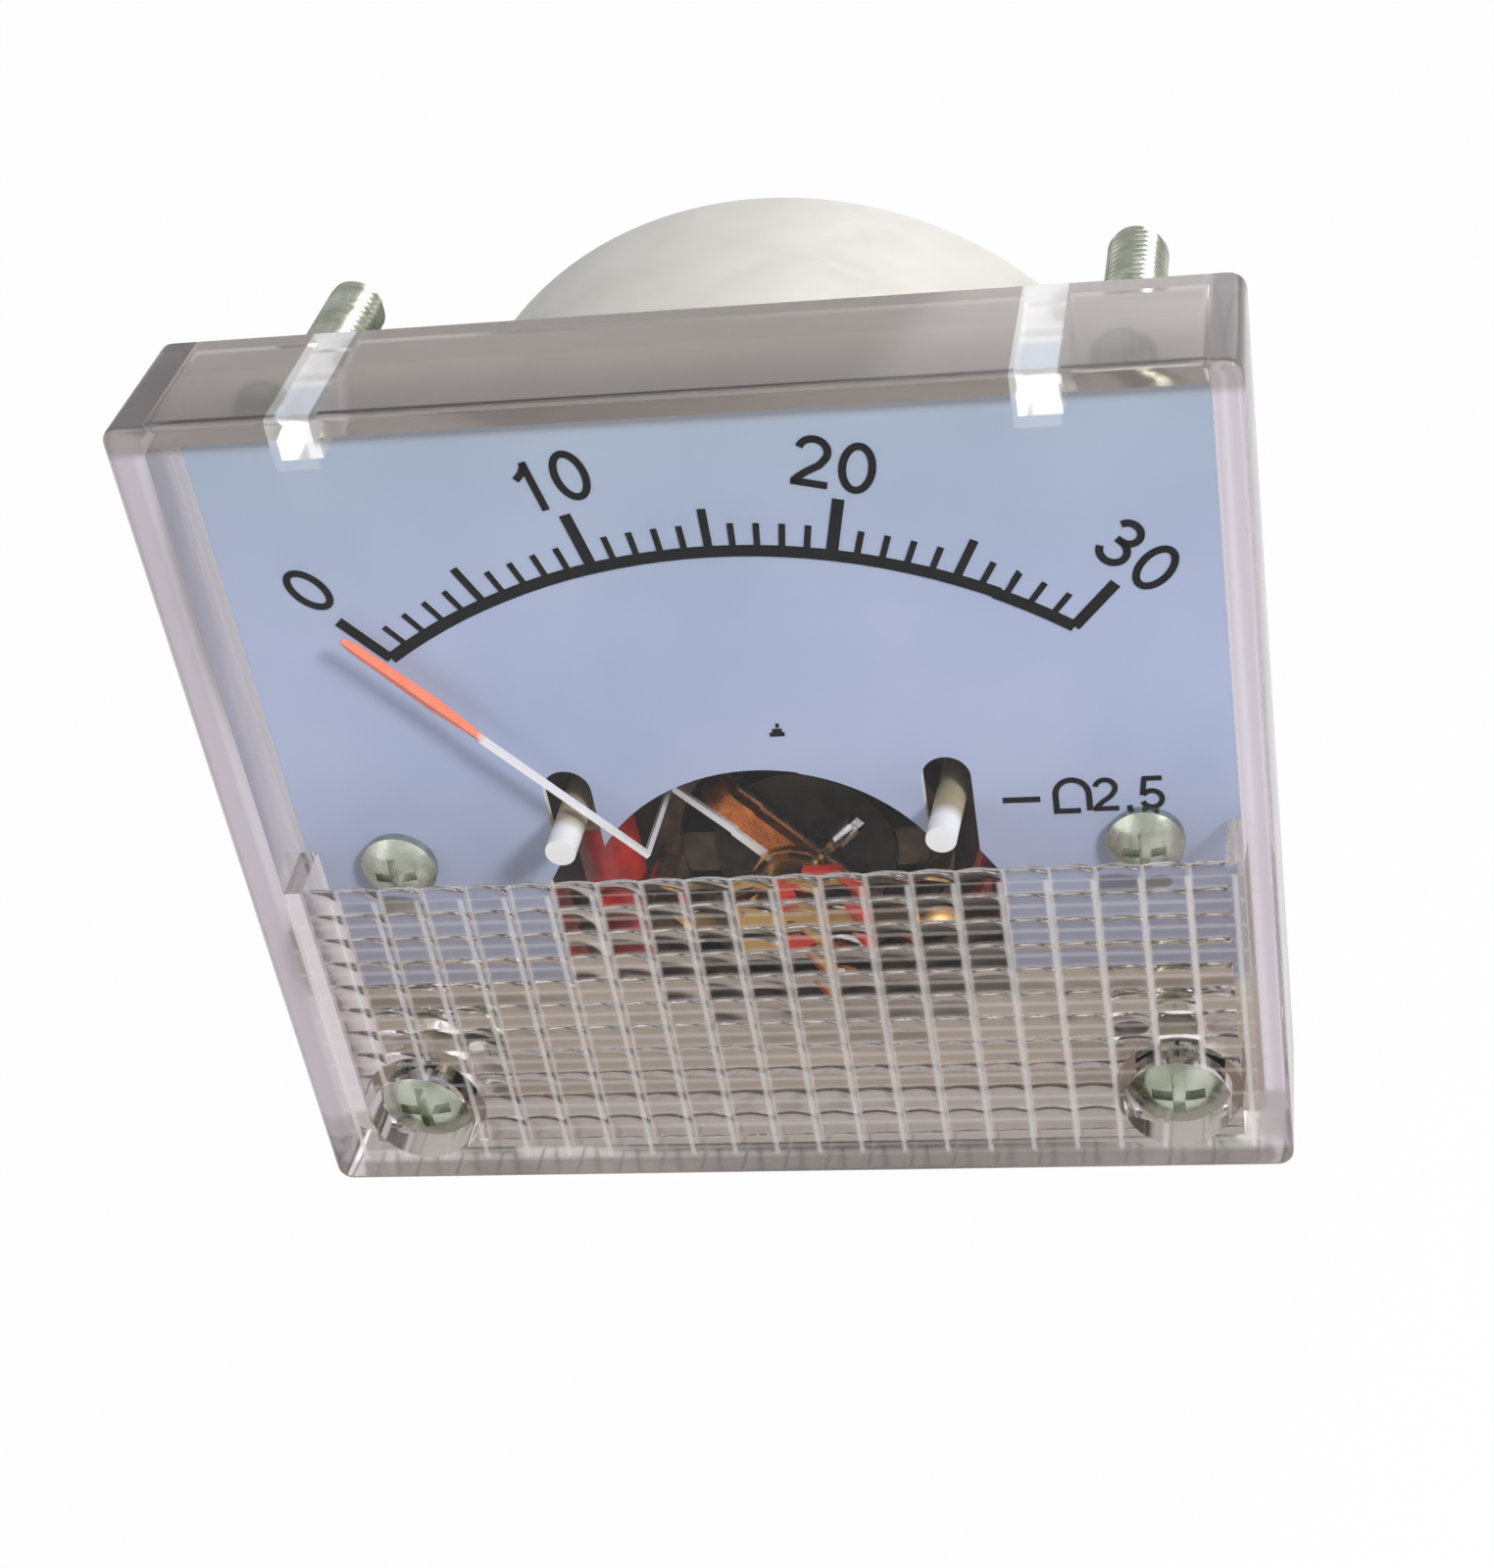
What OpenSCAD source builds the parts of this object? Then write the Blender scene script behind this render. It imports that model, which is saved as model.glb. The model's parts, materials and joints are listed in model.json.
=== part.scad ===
// Analog panel meter: a clear cover with a cross-ribbed lens, a white base with a round barrel,
// a printed dial, and a moving-coil movement with its pointer.
// It is drawn as seen from the front, with x to the right, y up and z towards the viewer.
// z = 0 is the face of the panel that carries the meter. face() then stands it upright, facing -Y.

/* [Cover] */
// Width of the cover
cover_w = 50; // [49:0.5:56]
// Height of the cover
cover_h = 45; // [44:0.5:50]
// Depth of the cover in front of the panel
cover_d = 8.2; // [8:0.1:10]
// Thickness of the cover's side walls
wall_t = 1.5; // [1:0.1:1.8]
// Thickness of the front window
window_t = 1.6; // [1.2:0.1:1.8]
// Radius of the cover's outer corners
corner_r = 0.8; // [0.4:0.1:2]
// Bevel along the cover's front edges
bevel = 0.35; // [0.1:0.05:0.8]
// Distance of each locating rib from the middle of the top wall
rib_x = 16.3; // [12:0.1:16.6]
// Width of a locating rib
rib_w = 1.9; // [1:0.1:2.2]
// Height of a locating rib
rib_h = 1; // [0.6:0.1:1.3]
// Width of the ledge inside each side wall, beside the lens
ledge_w = 0.9; // [0.5:0.1:1.5]

/* [Lens] */
// Height of the lens's top edge, from the middle of the cover
lens_top = -4; // [-6:0.1:-3.5]
// Width of a lens cell
cell_w = 2.2; // [1.8:0.1:3]
// Height of a lens cell
cell_h = 1.5; // [1.2:0.1:2.5]
// Height of a lens cell's pillow
pillow_h = 0.35; // [0.15:0.05:0.5]
// Width of a pillow's sloping edge
pillow_edge = 0.4; // [0.2:0.05:0.55]

/* [Base] */
// Gap between the base's flange and the cover
seat_gap = 0.15; // [0.1:0.05:0.3]
// Thickness of the flange
flange_t = 2; // [1.8:0.1:2.4]
// Radius of the barrel
barrel_r = 19.5; // [19.3:0.1:20.5]
// Length of the barrel behind the panel
barrel_l = 18.4; // [18:0.1:22]
// Thickness of the barrel's wall
barrel_t = 1.3; // [1:0.1:1.5]
// Thickness of the barrel's rear wall
rear_t = 1.8; // [1.2:0.1:2]
// Height of the dial above the flange
dial_rise = 0.5; // [0.3:0.1:0.8]

/* [Fasteners] */
// Distance of each mounting stud from the nearer side of the cover
stud_inset_x = 5.5; // [4.5:0.5:6]
// Distance of each mounting stud from the top or bottom of the cover
stud_inset_y = 4.3; // [4.1:0.1:5]
// Radius of a mounting stud
stud_r = 1.5; // [1.25:0.25:1.5]
// Length of a mounting stud behind the panel
stud_l = 12; // [8:0.5:16]
// Radius of a mounting stud's head, in the flange
stud_head_r = 2.2; // [2:0.1:2.4]
// Radius of a cover screw's head
cover_screw_head_r = 2.4; // [2:0.1:2.5]
// Radius of a cover screw's shank
cover_screw_r = 1.2; // [1:0.1:1.25]
// Radius of a dial screw's head
dial_screw_head_r = 1.9; // [1.6:0.1:2.2]
// Radius of a dial screw's shank
dial_screw_r = 0.95; // [0.8:0.05:1]
// Distance of each dial screw from the side of the dial
dial_screw_inset = 4.6; // [4.2:0.1:5.2]
// Height of the dial screws, from the middle of the cover
dial_screw_y = -5.1; // [-6:0.1:-4]

/* [Terminals] */
// Distance of each terminal from the middle
terminal_x = 10; // [9:0.5:11]
// Radius of a terminal's stud
terminal_r = 2; // [1.5:0.25:2]
// Length of a terminal's stud behind the barrel
terminal_l = 7.4; // [7.2:0.1:12]
// Width of a terminal's nuts across their flats
nut_w = 7; // [5.5:0.5:7]
// Thickness of a terminal's nuts
nut_t = 2.2; // [1.6:0.1:2.4]
// Thickness of a terminal's washers
washer_t = 0.6; // [0.3:0.1:0.6]

/* [Dial] */
// Thickness of the dial plate
dial_t = 0.5; // [0.3:0.1:0.6]
// Height of the dial's lower edge, from the middle of the cover
dial_bottom = -12.6; // [-13:0.1:-12]
// Radius of the arch over the movement
arch_r = 9.9; // [9.4:0.1:10.5]
// Radius of the printed scale's arc
scale_r = 29.1; // [28:0.1:29.5]
// Distance of the arc's centre below the pivot
scale_drop = 6.9; // [6:0.1:7.5]
// Number of scale divisions
divisions = 30; // [10:10:60]
// Sweep of the pointer over the whole scale
sweep = 86; // [80:1:88]

/* [Movement] */
// Gap between the ring round the core and the inside of the barrel
yoke_gap = 0.2; // [0.1:0.1:0.6]
// Distance of the core's middle from the barrel's floor
core_rise = 9; // [9:0.1:9.4]
// Radius of the core magnet
core_r = 4.8; // [4.4:0.1:5]
// Length of the core magnet
core_l = 8; // [7:0.1:8.4]
// Gap between the core and the ring around it
air_gap = 1.8; // [1.8:0.1:2]
// Thickness of the ring's wall
yoke_t = 1.2; // [0.8:0.1:1.4]
// Thickness of the movement's frame plate
frame_t = 2; // [1.4:0.1:2.4]
// Thickness of the bridges
bridge_t = 0.8; // [0.6:0.1:0.8]
// Width of the bridges
bridge_w = 3; // [2.4:0.1:3.4]
// Width of the coil's winding
coil_w = 1.8; // [1.4:0.1:2]
// Thickness of the coil's winding
winding_t = 0.85; // [0.5:0.05:0.9]

/* [Pointer] */
// Radius of the pointer's tip
tip_r = 26.2; // [25:0.1:26.4]
// Radius at which the blade starts
blade_r = 18.2; // [16:0.1:20]
// Widest part of the blade
blade_w = 0.8; // [0.5:0.05:1]
// Width of the pointer's arm
arm_w = 0.36; // [0.3:0.02:0.5]
// Thickness of the pointer
arm_t = 0.25; // [0.2:0.05:0.35]
// Height of the blade above the dial
blade_rise = 1.1; // [0.8:0.1:1.4]
// Distance of each stop peg from the middle
stop_x = 9.3; // [9.2:0.05:9.4]
// Height of the stop pegs above the pivot
stop_rise = 7.6; // [7.5:0.05:7.7]
// Radius of a stop peg's sleeve
sleeve_r = 0.75; // [0.65:0.05:0.8]

/* [Hidden] */
$fn = 48;

// General gaps: how far a cutter runs past a face, a thread or press seat, a turning fit, and free space
past = 0.5;
seat = 0.05;
running = 0.05;
free = 0.3;

// Cover and base
inner_w = cover_w - 2 * wall_t;
inner_h = cover_h - 2 * wall_t;
inner_r = 0.4;
window_z = cover_d - window_t;
flange_w = inner_w - 2 * seat_gap;
flange_h = inner_h - 2 * seat_gap;
bore_r = barrel_r - barrel_t;
floor_z = rear_t - barrel_l;
counterbore_r = cover_screw_head_r + free;
counterbore_d = 1.9;
cover_boss_r = counterbore_r + 0.5;
screw_seat_z = cover_d - counterbore_d;
stud_span_x = cover_w - 2 * stud_inset_x;
stud_span_y = cover_h - 2 * stud_inset_y;

// The movement's place: the ring lies beside the barrel's wall, and the core stands over its floor
yoke_in = core_r + air_gap;
yoke_r = yoke_in + yoke_t;
pivot_y = yoke_r + yoke_gap - bore_r;
core_mid = floor_z + core_rise;

// Dial
dial_z = flange_t + dial_rise;
dial_face = dial_z + dial_t;
dial_w = inner_w - 2 * free;
dial_top = inner_h / 2 - rib_h - 0.2;
dial_boss_r = dial_screw_r + 1.05;
dial_boss_l = 1.5;
dial_screw_end = 0.4;
print_t = 0.05;
dial_screw_x = dial_w / 2 - dial_screw_inset;
stop_y = pivot_y + stop_rise;
slot_w = 2.4;
slot_top = stop_y + 2.7;
ear_top = pivot_y + 5.2;
ear = [[8, ear_top], [10.2, ear_top], [11.3, ear_top - 1.7]];
half_sweep = sweep / 2;

// Lens
lens_cols = floor(inner_w / cell_w);
lens_rows = floor((lens_top + inner_h / 2) / cell_h);
valley_h = 0.1;
ledge_z = dial_face + 0.2;

// Movement, measured from the pivot and along z
core_front = core_mid + core_l / 2;
yoke_l = core_l - 0.4;
yoke_front = core_mid + yoke_l / 2;
frame_z = core_mid - 0.4;
frame_face = frame_z + frame_t;
frame_r = bore_r - free;
frame_cut_y = pivot_y - 4.8;
frame_screw_turn = 34.2;
frame_screw_out = frame_r - 1.7;
frame_screw_at = frame_screw_out * [cos(frame_screw_turn), sin(frame_screw_turn)];
frame_screw_r = 1;
frame_screw_head_r = 1.9;
frame_screw_head_h = 1.2;
wedge_w = 2.4;
frame_boss_r = 2.5;
support_r = frame_r - 1;
former_t = 0.25;
coil_half = core_r + free;
coil_l = core_l + 2 * free;
winding_out = former_t + winding_t;
coil_front = core_mid + coil_l / 2 + winding_out;
coil_rear = core_mid - coil_l / 2 - winding_out;

// Staffs and springs
pin_r = 0.3;
collet_r = 0.5;
spring_t = 0.12;
spring_h = 0.4;
spring_turns = 4;
spring_in = collet_r + 0.12;
spring_out = 2.5;
bridge_z = core_mid + 7.2;
bridge_face = bridge_z + bridge_t;
jewel_r = 1.2;
jewel_z = bridge_z - 0.1;
jewel_l = 1.5;
cup_d = 0.3;
spring_z = jewel_z - 0.6;
post_r = 0.6;
post_x = yoke_in + yoke_t / 2;
bridge_half = post_x + 0.8;
bridge_screw_r = 0.35;
bridge_screw_head_r = 0.85;
cross_t = 0.3;
cross_z = coil_front + 0.4;
cross_w = 0.5;
cross_reach = 5;
weight_r = 0.5;
weight_l = 1.3;
weight_at = 3.9;
arm_z = cross_z + cross_t;
blade_z = dial_face + blade_rise;
step_r = 8.4;
rear_bridge_z = core_mid - 7.6;
rear_bridge_face = rear_bridge_z + 0.6;
rear_leg_x = yoke_r + 1.4;
rear_foot_x = rear_leg_x + 3.2;
rear_screw_x = rear_leg_x + 2;
rear_jewel_z = rear_bridge_face + 0.3;
rear_spring_z = coil_rear - 0.9;

// Stops, resistor and wires
stop_top = window_z - 0.7;
stop_pin_r = 0.35;
lead_r = 0.3;
lead_hole_r = 0.6;
resistor_r = 1.75;
resistor_l = 9;
resistor_x = yoke_r + free + resistor_r + seat;
resistor_low = sqrt(pow(bore_r - free - 0.1, 2) - pow(resistor_x + resistor_r, 2));
resistor_at = [-resistor_x, resistor_l / 2 - resistor_low, frame_face + 3.3];
link_at = [rear_leg_x + 1.4, pivot_y + 3.7];

// Terminals
terminal_head_r = 3.4;
terminal_head_h = 1.2;
lug_t = 0.5;
lug_l = 11;
lug_w = 3.2;
lug_eye_r = 0.8;
washer_r = nut_w / 2 + 0.4;
inner_washer_z = -barrel_l - washer_t;
inner_nut_z = inner_washer_z - nut_t;
lug_z = inner_nut_z - lug_t;
outer_washer_z = lug_z - washer_t;
outer_nut_z = outer_washer_z - nut_t;

// ---- Helpers ----

// Stands the drawing upright: its y becomes Z and its front faces -Y
module face() rotate([90, 0, 0]) children();

// Moves to the pivot's axis
module pivot() translate([0, pivot_y, 0]) children();

// Turns a piece of the needle to the scale's zero
module needle() pivot() rotate(half_sweep) children();

// A rectangle with round corners
module plate(w, h, r) {
    square([w - 2 * r, h], center = true);
    square([w, h - 2 * r], center = true);
    for (x = [-1, 1], y = [-1, 1]) translate([x * (w / 2 - r), y * (h / 2 - r)]) circle(r);
}

// Draws along z and extrudes along x: the outline's x becomes y and its y becomes z
module across(l) rotate([90, 0, 90]) linear_extrude(l, center = true) children();

// Draws along z and extrudes along y: the outline's y becomes z
module along(l) rotate([90, 0, 0]) linear_extrude(l, center = true) children();

// A pan-head screw with a cross recess; its head stands on z = 0
module screw(head_r, head_h, shank_r, shank_l) {
    rise = 0.6 * head_h;
    dome = (head_r * head_r + rise * rise) / (2 * rise);
    slot = 0.26 * head_r;
    difference() {
        union() {
            intersection() {
                cylinder(h = head_h, r = head_r);
                translate([0, 0, head_h - dome]) sphere(dome);
            }
            translate([0, 0, -shank_l]) cylinder(h = shank_l + head_h / 4, r = shank_r);
        }
        for (turn = [0, 90])
            rotate(turn)
                translate([-0.55 * head_r, -slot / 2, head_h / 2]) cube([1.1 * head_r, slot, head_h]);
    }
}

// The points of a ring moved along d onto the plane through p with normal n
function moved_ring(ring, p, d, n) = [for (q = ring) q + d * (((p - q) * n) / (d * n))];
function heading(path, i) = (path[i + 1] - path[i]) / norm(path[i + 1] - path[i]);
function corner_normal(path, i) =
    i == len(path) - 1 ? heading(path, i - 1) : heading(path, i - 1) + heading(path, i);
function rings_from(path, ring, i) =
    i == len(path) ? [] :
    let (next = moved_ring(ring, path[i], heading(path, i - 1), corner_normal(path, i)))
    concat([next], rings_from(path, next, i + 1));

// A round wire along a path that leaves its first point along z
module wire(path, r, sides = 12) {
    start = [for (k = [0 : sides - 1])
        path[0] + r * [cos(k * 360 / sides), sin(k * 360 / sides), 0]];
    rings = concat([start], rings_from(path, start, 1));
    up = path[1][2] > path[0][2];
    walls = [for (i = [0 : len(path) - 2], k = [0 : sides - 1])
        let (n = (k + 1) % sides)
        [i * sides + k, (i + 1) * sides + k, (i + 1) * sides + n, i * sides + n]];
    first = [for (k = [0 : sides - 1]) k];
    last = [for (k = [0 : sides - 1]) len(path) * sides - 1 - k];
    faces = concat([first], walls, [last]);
    flipped = [for (f = faces) [for (k = [len(f) - 1 : -1 : 0]) f[k]]];
    polyhedron([for (ring = rings, q = ring) q], up ? faces : flipped);
}

// A flat spiral strip
module spiral(r_in, r_out, turns, t) {
    steps = turns * 16;
    polygon(concat(
        [for (i = [0 : steps])
            let (a = 360 * turns * i / steps, r = r_in + (r_out - r_in) * i / steps + t / 2)
            [r * cos(a), r * sin(a)]],
        [for (i = [steps : -1 : 0])
            let (a = 360 * turns * i / steps, r = r_in + (r_out - r_in) * i / steps - t / 2)
            [r * cos(a), r * sin(a)]]
    ));
}

// ---- Cover, base and dial ----

// A row of pillow ridges under the window, as a section with n ridges of width w
module ridges(n, w) {
    top = window_z + 0.2;
    low = window_z - valley_h;
    crest = low - pillow_h;
    polygon(concat(
        [[-n * w / 2, top]],
        [for (i = [0 : n - 1]) each [
            [(i - n / 2) * w, low],
            [(i - n / 2) * w + pillow_edge, crest],
            [(i + 1 - n / 2) * w - pillow_edge, crest]
        ]],
        [[n * w / 2, low], [n * w / 2, top]]
    ));
}

module lens() translate([0, lens_top - lens_rows * cell_h / 2, 0]) intersection() {
    along(lens_rows * cell_h) ridges(lens_cols, cell_w);
    across(lens_cols * cell_w) ridges(lens_rows, cell_h);
}

// The section of a block whose front edges are bevelled
module bevelled(w) polygon([
    [-w / 2, 0], [w / 2, 0], [w / 2, cover_d - bevel],
    [w / 2 - bevel, cover_d], [bevel - w / 2, cover_d], [-w / 2, cover_d - bevel]
]);

module cover_screw_at(side) translate([side * stud_span_x / 2, -stud_span_y / 2, 0]) children();

module cover() color("ghostwhite", 0.4) face() difference() {
    union() {
        difference() {
            intersection() {
                linear_extrude(cover_d) plate(cover_w, cover_h, corner_r);
                along(cover_h) bevelled(cover_w);
                across(cover_w) bevelled(cover_h);
            }
            translate([0, 0, -past]) linear_extrude(window_z + past) plate(inner_w, inner_h, inner_r);
        }
        lens();
        for (side = [-1, 1]) {
            translate([side * rib_x - rib_w / 2, inner_h / 2 - rib_h, 0])
                cube([rib_w, rib_h + wall_t / 2, window_z + window_t / 2]);
            translate([side * (inner_w / 2 - ledge_w / 2 + wall_t / 4), lens_top / 2 - inner_h / 4, 0])
                translate([0, 0, (ledge_z + window_z + window_t / 2) / 2])
                    cube([ledge_w + wall_t / 2, lens_top + inner_h / 2 + wall_t / 2,
                        window_z + window_t / 2 - ledge_z], center = true);
            cover_screw_at(side) translate([0, 0, flange_t])
                cylinder(h = window_z - flange_t + window_t / 2, r = cover_boss_r);
        }
    }
    for (side = [-1, 1]) cover_screw_at(side) {
        translate([0, 0, screw_seat_z]) cylinder(h = counterbore_d + past, r = counterbore_r);
        translate([0, 0, flange_t - past]) cylinder(h = cover_d, r = cover_screw_r + 0.2);
    }
}

module stud_at(side, level) translate([side * stud_span_x / 2, level * stud_span_y / 2, 0]) children();
module dial_screw_at(side) translate([side * dial_screw_x, dial_screw_y, 0]) children();
module frame_screw_at(side) translate([side * frame_screw_at[0], frame_screw_at[1], 0]) children();
module terminal_at(side) translate([side * terminal_x, 0, 0]) children();

// Small pads that the dial's upper corners rest on
module dial_rest(side) translate([side * (dial_w / 2 - 2.5), inner_h / 4 + 3, flange_t / 2])
    cylinder(h = dial_z - flange_t / 2, r = 1.2);

module base() color("whitesmoke") face() difference() {
    union() {
        linear_extrude(flange_t) plate(flange_w, flange_h, inner_r);
        translate([0, 0, -barrel_l]) cylinder(h = barrel_l, r = barrel_r, $fn = 96);
        for (side = [-1, 1]) {
            dial_rest(side);
            dial_screw_at(side) translate([0, 0, flange_t / 2])
                cylinder(h = dial_z - flange_t / 2, r = dial_boss_r);
        }
    }
    difference() {
        translate([0, 0, floor_z]) cylinder(h = barrel_l + dial_z, r = bore_r, $fn = 96);
        // Bosses under the dial screws and the frame screws
        for (side = [-1, 1]) {
            dial_screw_at(side) translate([0, 0, -dial_boss_l])
                cylinder(h = dial_boss_l + dial_z, r = dial_boss_r);
            frame_screw_at(side) translate([0, 0, floor_z - past])
                cylinder(h = frame_z - floor_z + past, r = frame_boss_r);
        }
        // Ribs that the frame plate rests on
        for (a = [0, 180, 230, 310])
            rotate(a) translate([support_r, -1, floor_z - past])
                cube([barrel_t + 1.5, 2, frame_z - floor_z + past]);
    }
    for (side = [-1, 1]) {
        translate([side * rib_x - rib_w / 2 - seat_gap, flange_h / 2 - rib_h, -past])
            cube([rib_w + 2 * seat_gap, rib_h + past, flange_t + 2 * past]);
        for (level = [-1, 1]) stud_at(side, level)
            translate([0, 0, -past]) cylinder(h = flange_t + 2 * past, r = stud_head_r + seat);
        frame_screw_at(side) translate([0, 0, frame_z - 4])
            cylinder(h = 4 + past, r = frame_screw_r + seat);
        terminal_at(side) translate([0, 0, -barrel_l - past])
            cylinder(h = rear_t + 2 * past, r = terminal_r + seat);
        dial_screw_at(side) translate([0, 0, dial_screw_end - seat])
            cylinder(h = dial_z + past, r = dial_screw_r + seat);
    }
}

// How far the scale's circle of radius r lies from the pivot, a degrees from upright
function reach(r, a) = sqrt(r * r - pow(scale_drop * sin(a), 2)) - scale_drop * cos(a);
function tick_len(i) = i % 10 == 0 ? 2.97 : i % 5 == 0 ? 2.25 : 1.45;
function tick_w(i) = i % 10 == 0 ? 0.55 : i % 5 == 0 ? 0.4 : 0.3;

// The printed scale: an arc, and a tick for each division, which points at the pivot
module scale_marks() {
    arc_w = 0.6;
    outer = reach(scale_r, half_sweep);
    end_angle = atan2(outer * sin(half_sweep), outer * cos(half_sweep) + scale_drop);
    translate([0, pivot_y - scale_drop]) intersection() {
        difference() {
            circle(scale_r + arc_w / 2, $fn = 180);
            circle(scale_r - arc_w / 2, $fn = 180);
        }
        polygon([[0, 0], for (a = [-1 : 0.5 : 1])
            [2 * scale_r * sin(a * end_angle), 2 * scale_r * cos(a * end_angle)]]);
    }
    for (i = [0 : divisions]) {
        a = half_sweep - sweep * i / divisions;
        start = reach(scale_r, a);
        translate([0, pivot_y]) rotate(a)
            translate([-tick_w(i) / 2, start])
                square([tick_w(i), reach(scale_r + tick_len(i), a) - start]);
    }
}

module dial_plate() color("lightsteelblue") face() {
    translate([0, 0, dial_z]) linear_extrude(dial_t) difference() {
        translate([-dial_w / 2, dial_bottom]) square([dial_w, dial_top - dial_bottom]);
        translate([0, pivot_y]) circle(arch_r, $fn = 96);
        polygon([for (p = ear) [-p[0], p[1]], [-ear[2][0], dial_bottom - past],
            [ear[2][0], dial_bottom - past], ear[2], ear[1], ear[0]]);
        for (side = [-1, 1]) {
            translate([side * stop_x, slot_top - slot_w / 2]) circle(slot_w / 2);
            translate([side * stop_x - slot_w / 2, ear[0][1] - past])
                square([slot_w, slot_top - slot_w / 2 - ear[0][1] + past]);
            translate([side * dial_screw_x, dial_screw_y]) circle(dial_screw_r + 0.1);
        }
    }
    translate([0, 0, dial_face - print_t]) linear_extrude(2 * print_t) scale_marks();
}

module cover_screw(side) color("silver") face() cover_screw_at(side)
    translate([0, 0, screw_seat_z])
        screw(cover_screw_head_r, 1.3, cover_screw_r, screw_seat_z - flange_t + 1.5);

module dial_screw(side) color("silver") face() dial_screw_at(side)
    translate([0, 0, dial_face]) screw(dial_screw_head_r, 1.2, dial_screw_r, dial_face - dial_screw_end);

// A stud moulded into the flange, tapped from the front
module mount_stud(side, level) color("silver") face() stud_at(side, level) difference() {
    union() {
        cylinder(h = flange_t, r = stud_head_r);
        translate([0, 0, 0.4 - stud_l]) cylinder(h = stud_l, r = stud_r);
        translate([0, 0, -stud_l]) cylinder(h = 0.4, r1 = stud_r - 0.4, r2 = stud_r);
    }
    translate([0, 0, flange_t - 1.8]) cylinder(h = 1.8 + past, r = cover_screw_r + seat);
}

// ---- Movement ----

module movement_frame() color("dimgray") face() translate([0, 0, frame_z])
    linear_extrude(frame_t) difference() {
        intersection() {
            circle(frame_r, $fn = 96);
            translate([-barrel_r, frame_cut_y]) square(2 * barrel_r);
        }
        translate([0, pivot_y]) circle(yoke_r + seat, $fn = 96);
        translate([resistor_at[0], resistor_at[1] + resistor_l / 2 + 0.6]) circle(lead_hole_r);
        translate(link_at) circle(lead_hole_r);
        for (side = [-1, 1]) {
            translate([side * frame_screw_at[0], frame_screw_at[1]]) circle(frame_screw_r + seat);
            translate([side * stop_x, stop_y]) circle(stop_pin_r + seat);
            translate([side * rear_screw_x, pivot_y]) circle(0.6 + seat);
        }
    }

module frame_screw(side) color("silver") face() frame_screw_at(side)
    translate([0, 0, frame_face])
        screw(frame_screw_head_r, frame_screw_head_h, frame_screw_r, frame_t + 3.5);

module yoke_ring() color("slategray") face() pivot()
    translate([0, 0, yoke_front - yoke_l]) linear_extrude(yoke_l) difference() {
        circle(yoke_r, $fn = 96);
        circle(yoke_in, $fn = 96);
    }

module core_magnet() color("darkslategray") face() pivot()
    translate([0, 0, core_front - core_l]) cylinder(h = core_l, r = core_r, $fn = 96);

module core_wedge(side) color("darkkhaki") face() pivot()
    translate([0, 0, yoke_front - yoke_l]) linear_extrude(yoke_l) intersection() {
        difference() {
            circle(yoke_in - seat, $fn = 96);
            circle(core_r + seat, $fn = 96);
        }
        translate([side > 0 ? 0 : -yoke_r, -wedge_w / 2]) square([yoke_r, wedge_w]);
    }

module front_bridge() color("goldenrod") face() pivot()
    translate([0, 0, bridge_z]) linear_extrude(bridge_t) difference() {
        union() {
            plate(2 * bridge_half, bridge_w * 0.6, 0.6);
            circle(bridge_w / 2 + 0.5);
        }
        circle(jewel_r + seat);
        for (side = [-1, 1]) translate([side * post_x, 0]) circle(bridge_screw_r + seat);
    }

module bridge_post(side) color("goldenrod") face() pivot() translate([side * post_x, 0, yoke_front])
    difference() {
        cylinder(h = bridge_z - yoke_front, r = post_r);
        translate([0, 0, bridge_z - yoke_front - 1.6])
            cylinder(h = 1.6 + past, r = bridge_screw_r - 0.05 + seat);
    }

module bridge_screw(side) color("gold") face() pivot() translate([side * post_x, 0, bridge_face])
    screw(bridge_screw_head_r, 0.6, bridge_screw_r - 0.05, bridge_t + 1.4);

// A jewel screw: a slotted sleeve with a cup for the pivot at its inner end
module front_jewel() color("gold") face() pivot() translate([0, 0, jewel_z]) difference() {
    cylinder(h = jewel_l, r = jewel_r);
    translate([0, 0, -past]) cylinder(h = cup_d + past, r = pin_r + running);
    translate([-2 * jewel_r, -0.2, jewel_l - 0.3]) cube([4 * jewel_r, 0.4, 0.3 + past]);
}

// The lever that sets zero: a ring round the jewel, a paddle, a fork and a finger to the hairspring
module zero_adjuster() color("indianred") face() pivot() {
    ring_z = bridge_face + seat;
    finger_at = spring_out + 0.3;
    difference() {
        union() {
            translate([0, 0, ring_z]) linear_extrude(0.5) {
                circle(jewel_r + 0.8);
                translate([0.9, -2.2]) square([2, 4.4]);
                translate([-0.7, -5.6]) square([1.4, 4.4]);
            }
            translate([-0.35, -finger_at - 0.25, spring_z]) cube([0.7, 0.5, ring_z + 0.3 - spring_z]);
        }
        translate([0, 0, ring_z - past]) cylinder(h = 2, r = jewel_r + running);
        translate([-0.35, -6, ring_z - past]) cube([0.7, 1.6, 2]);
    }
}

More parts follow.
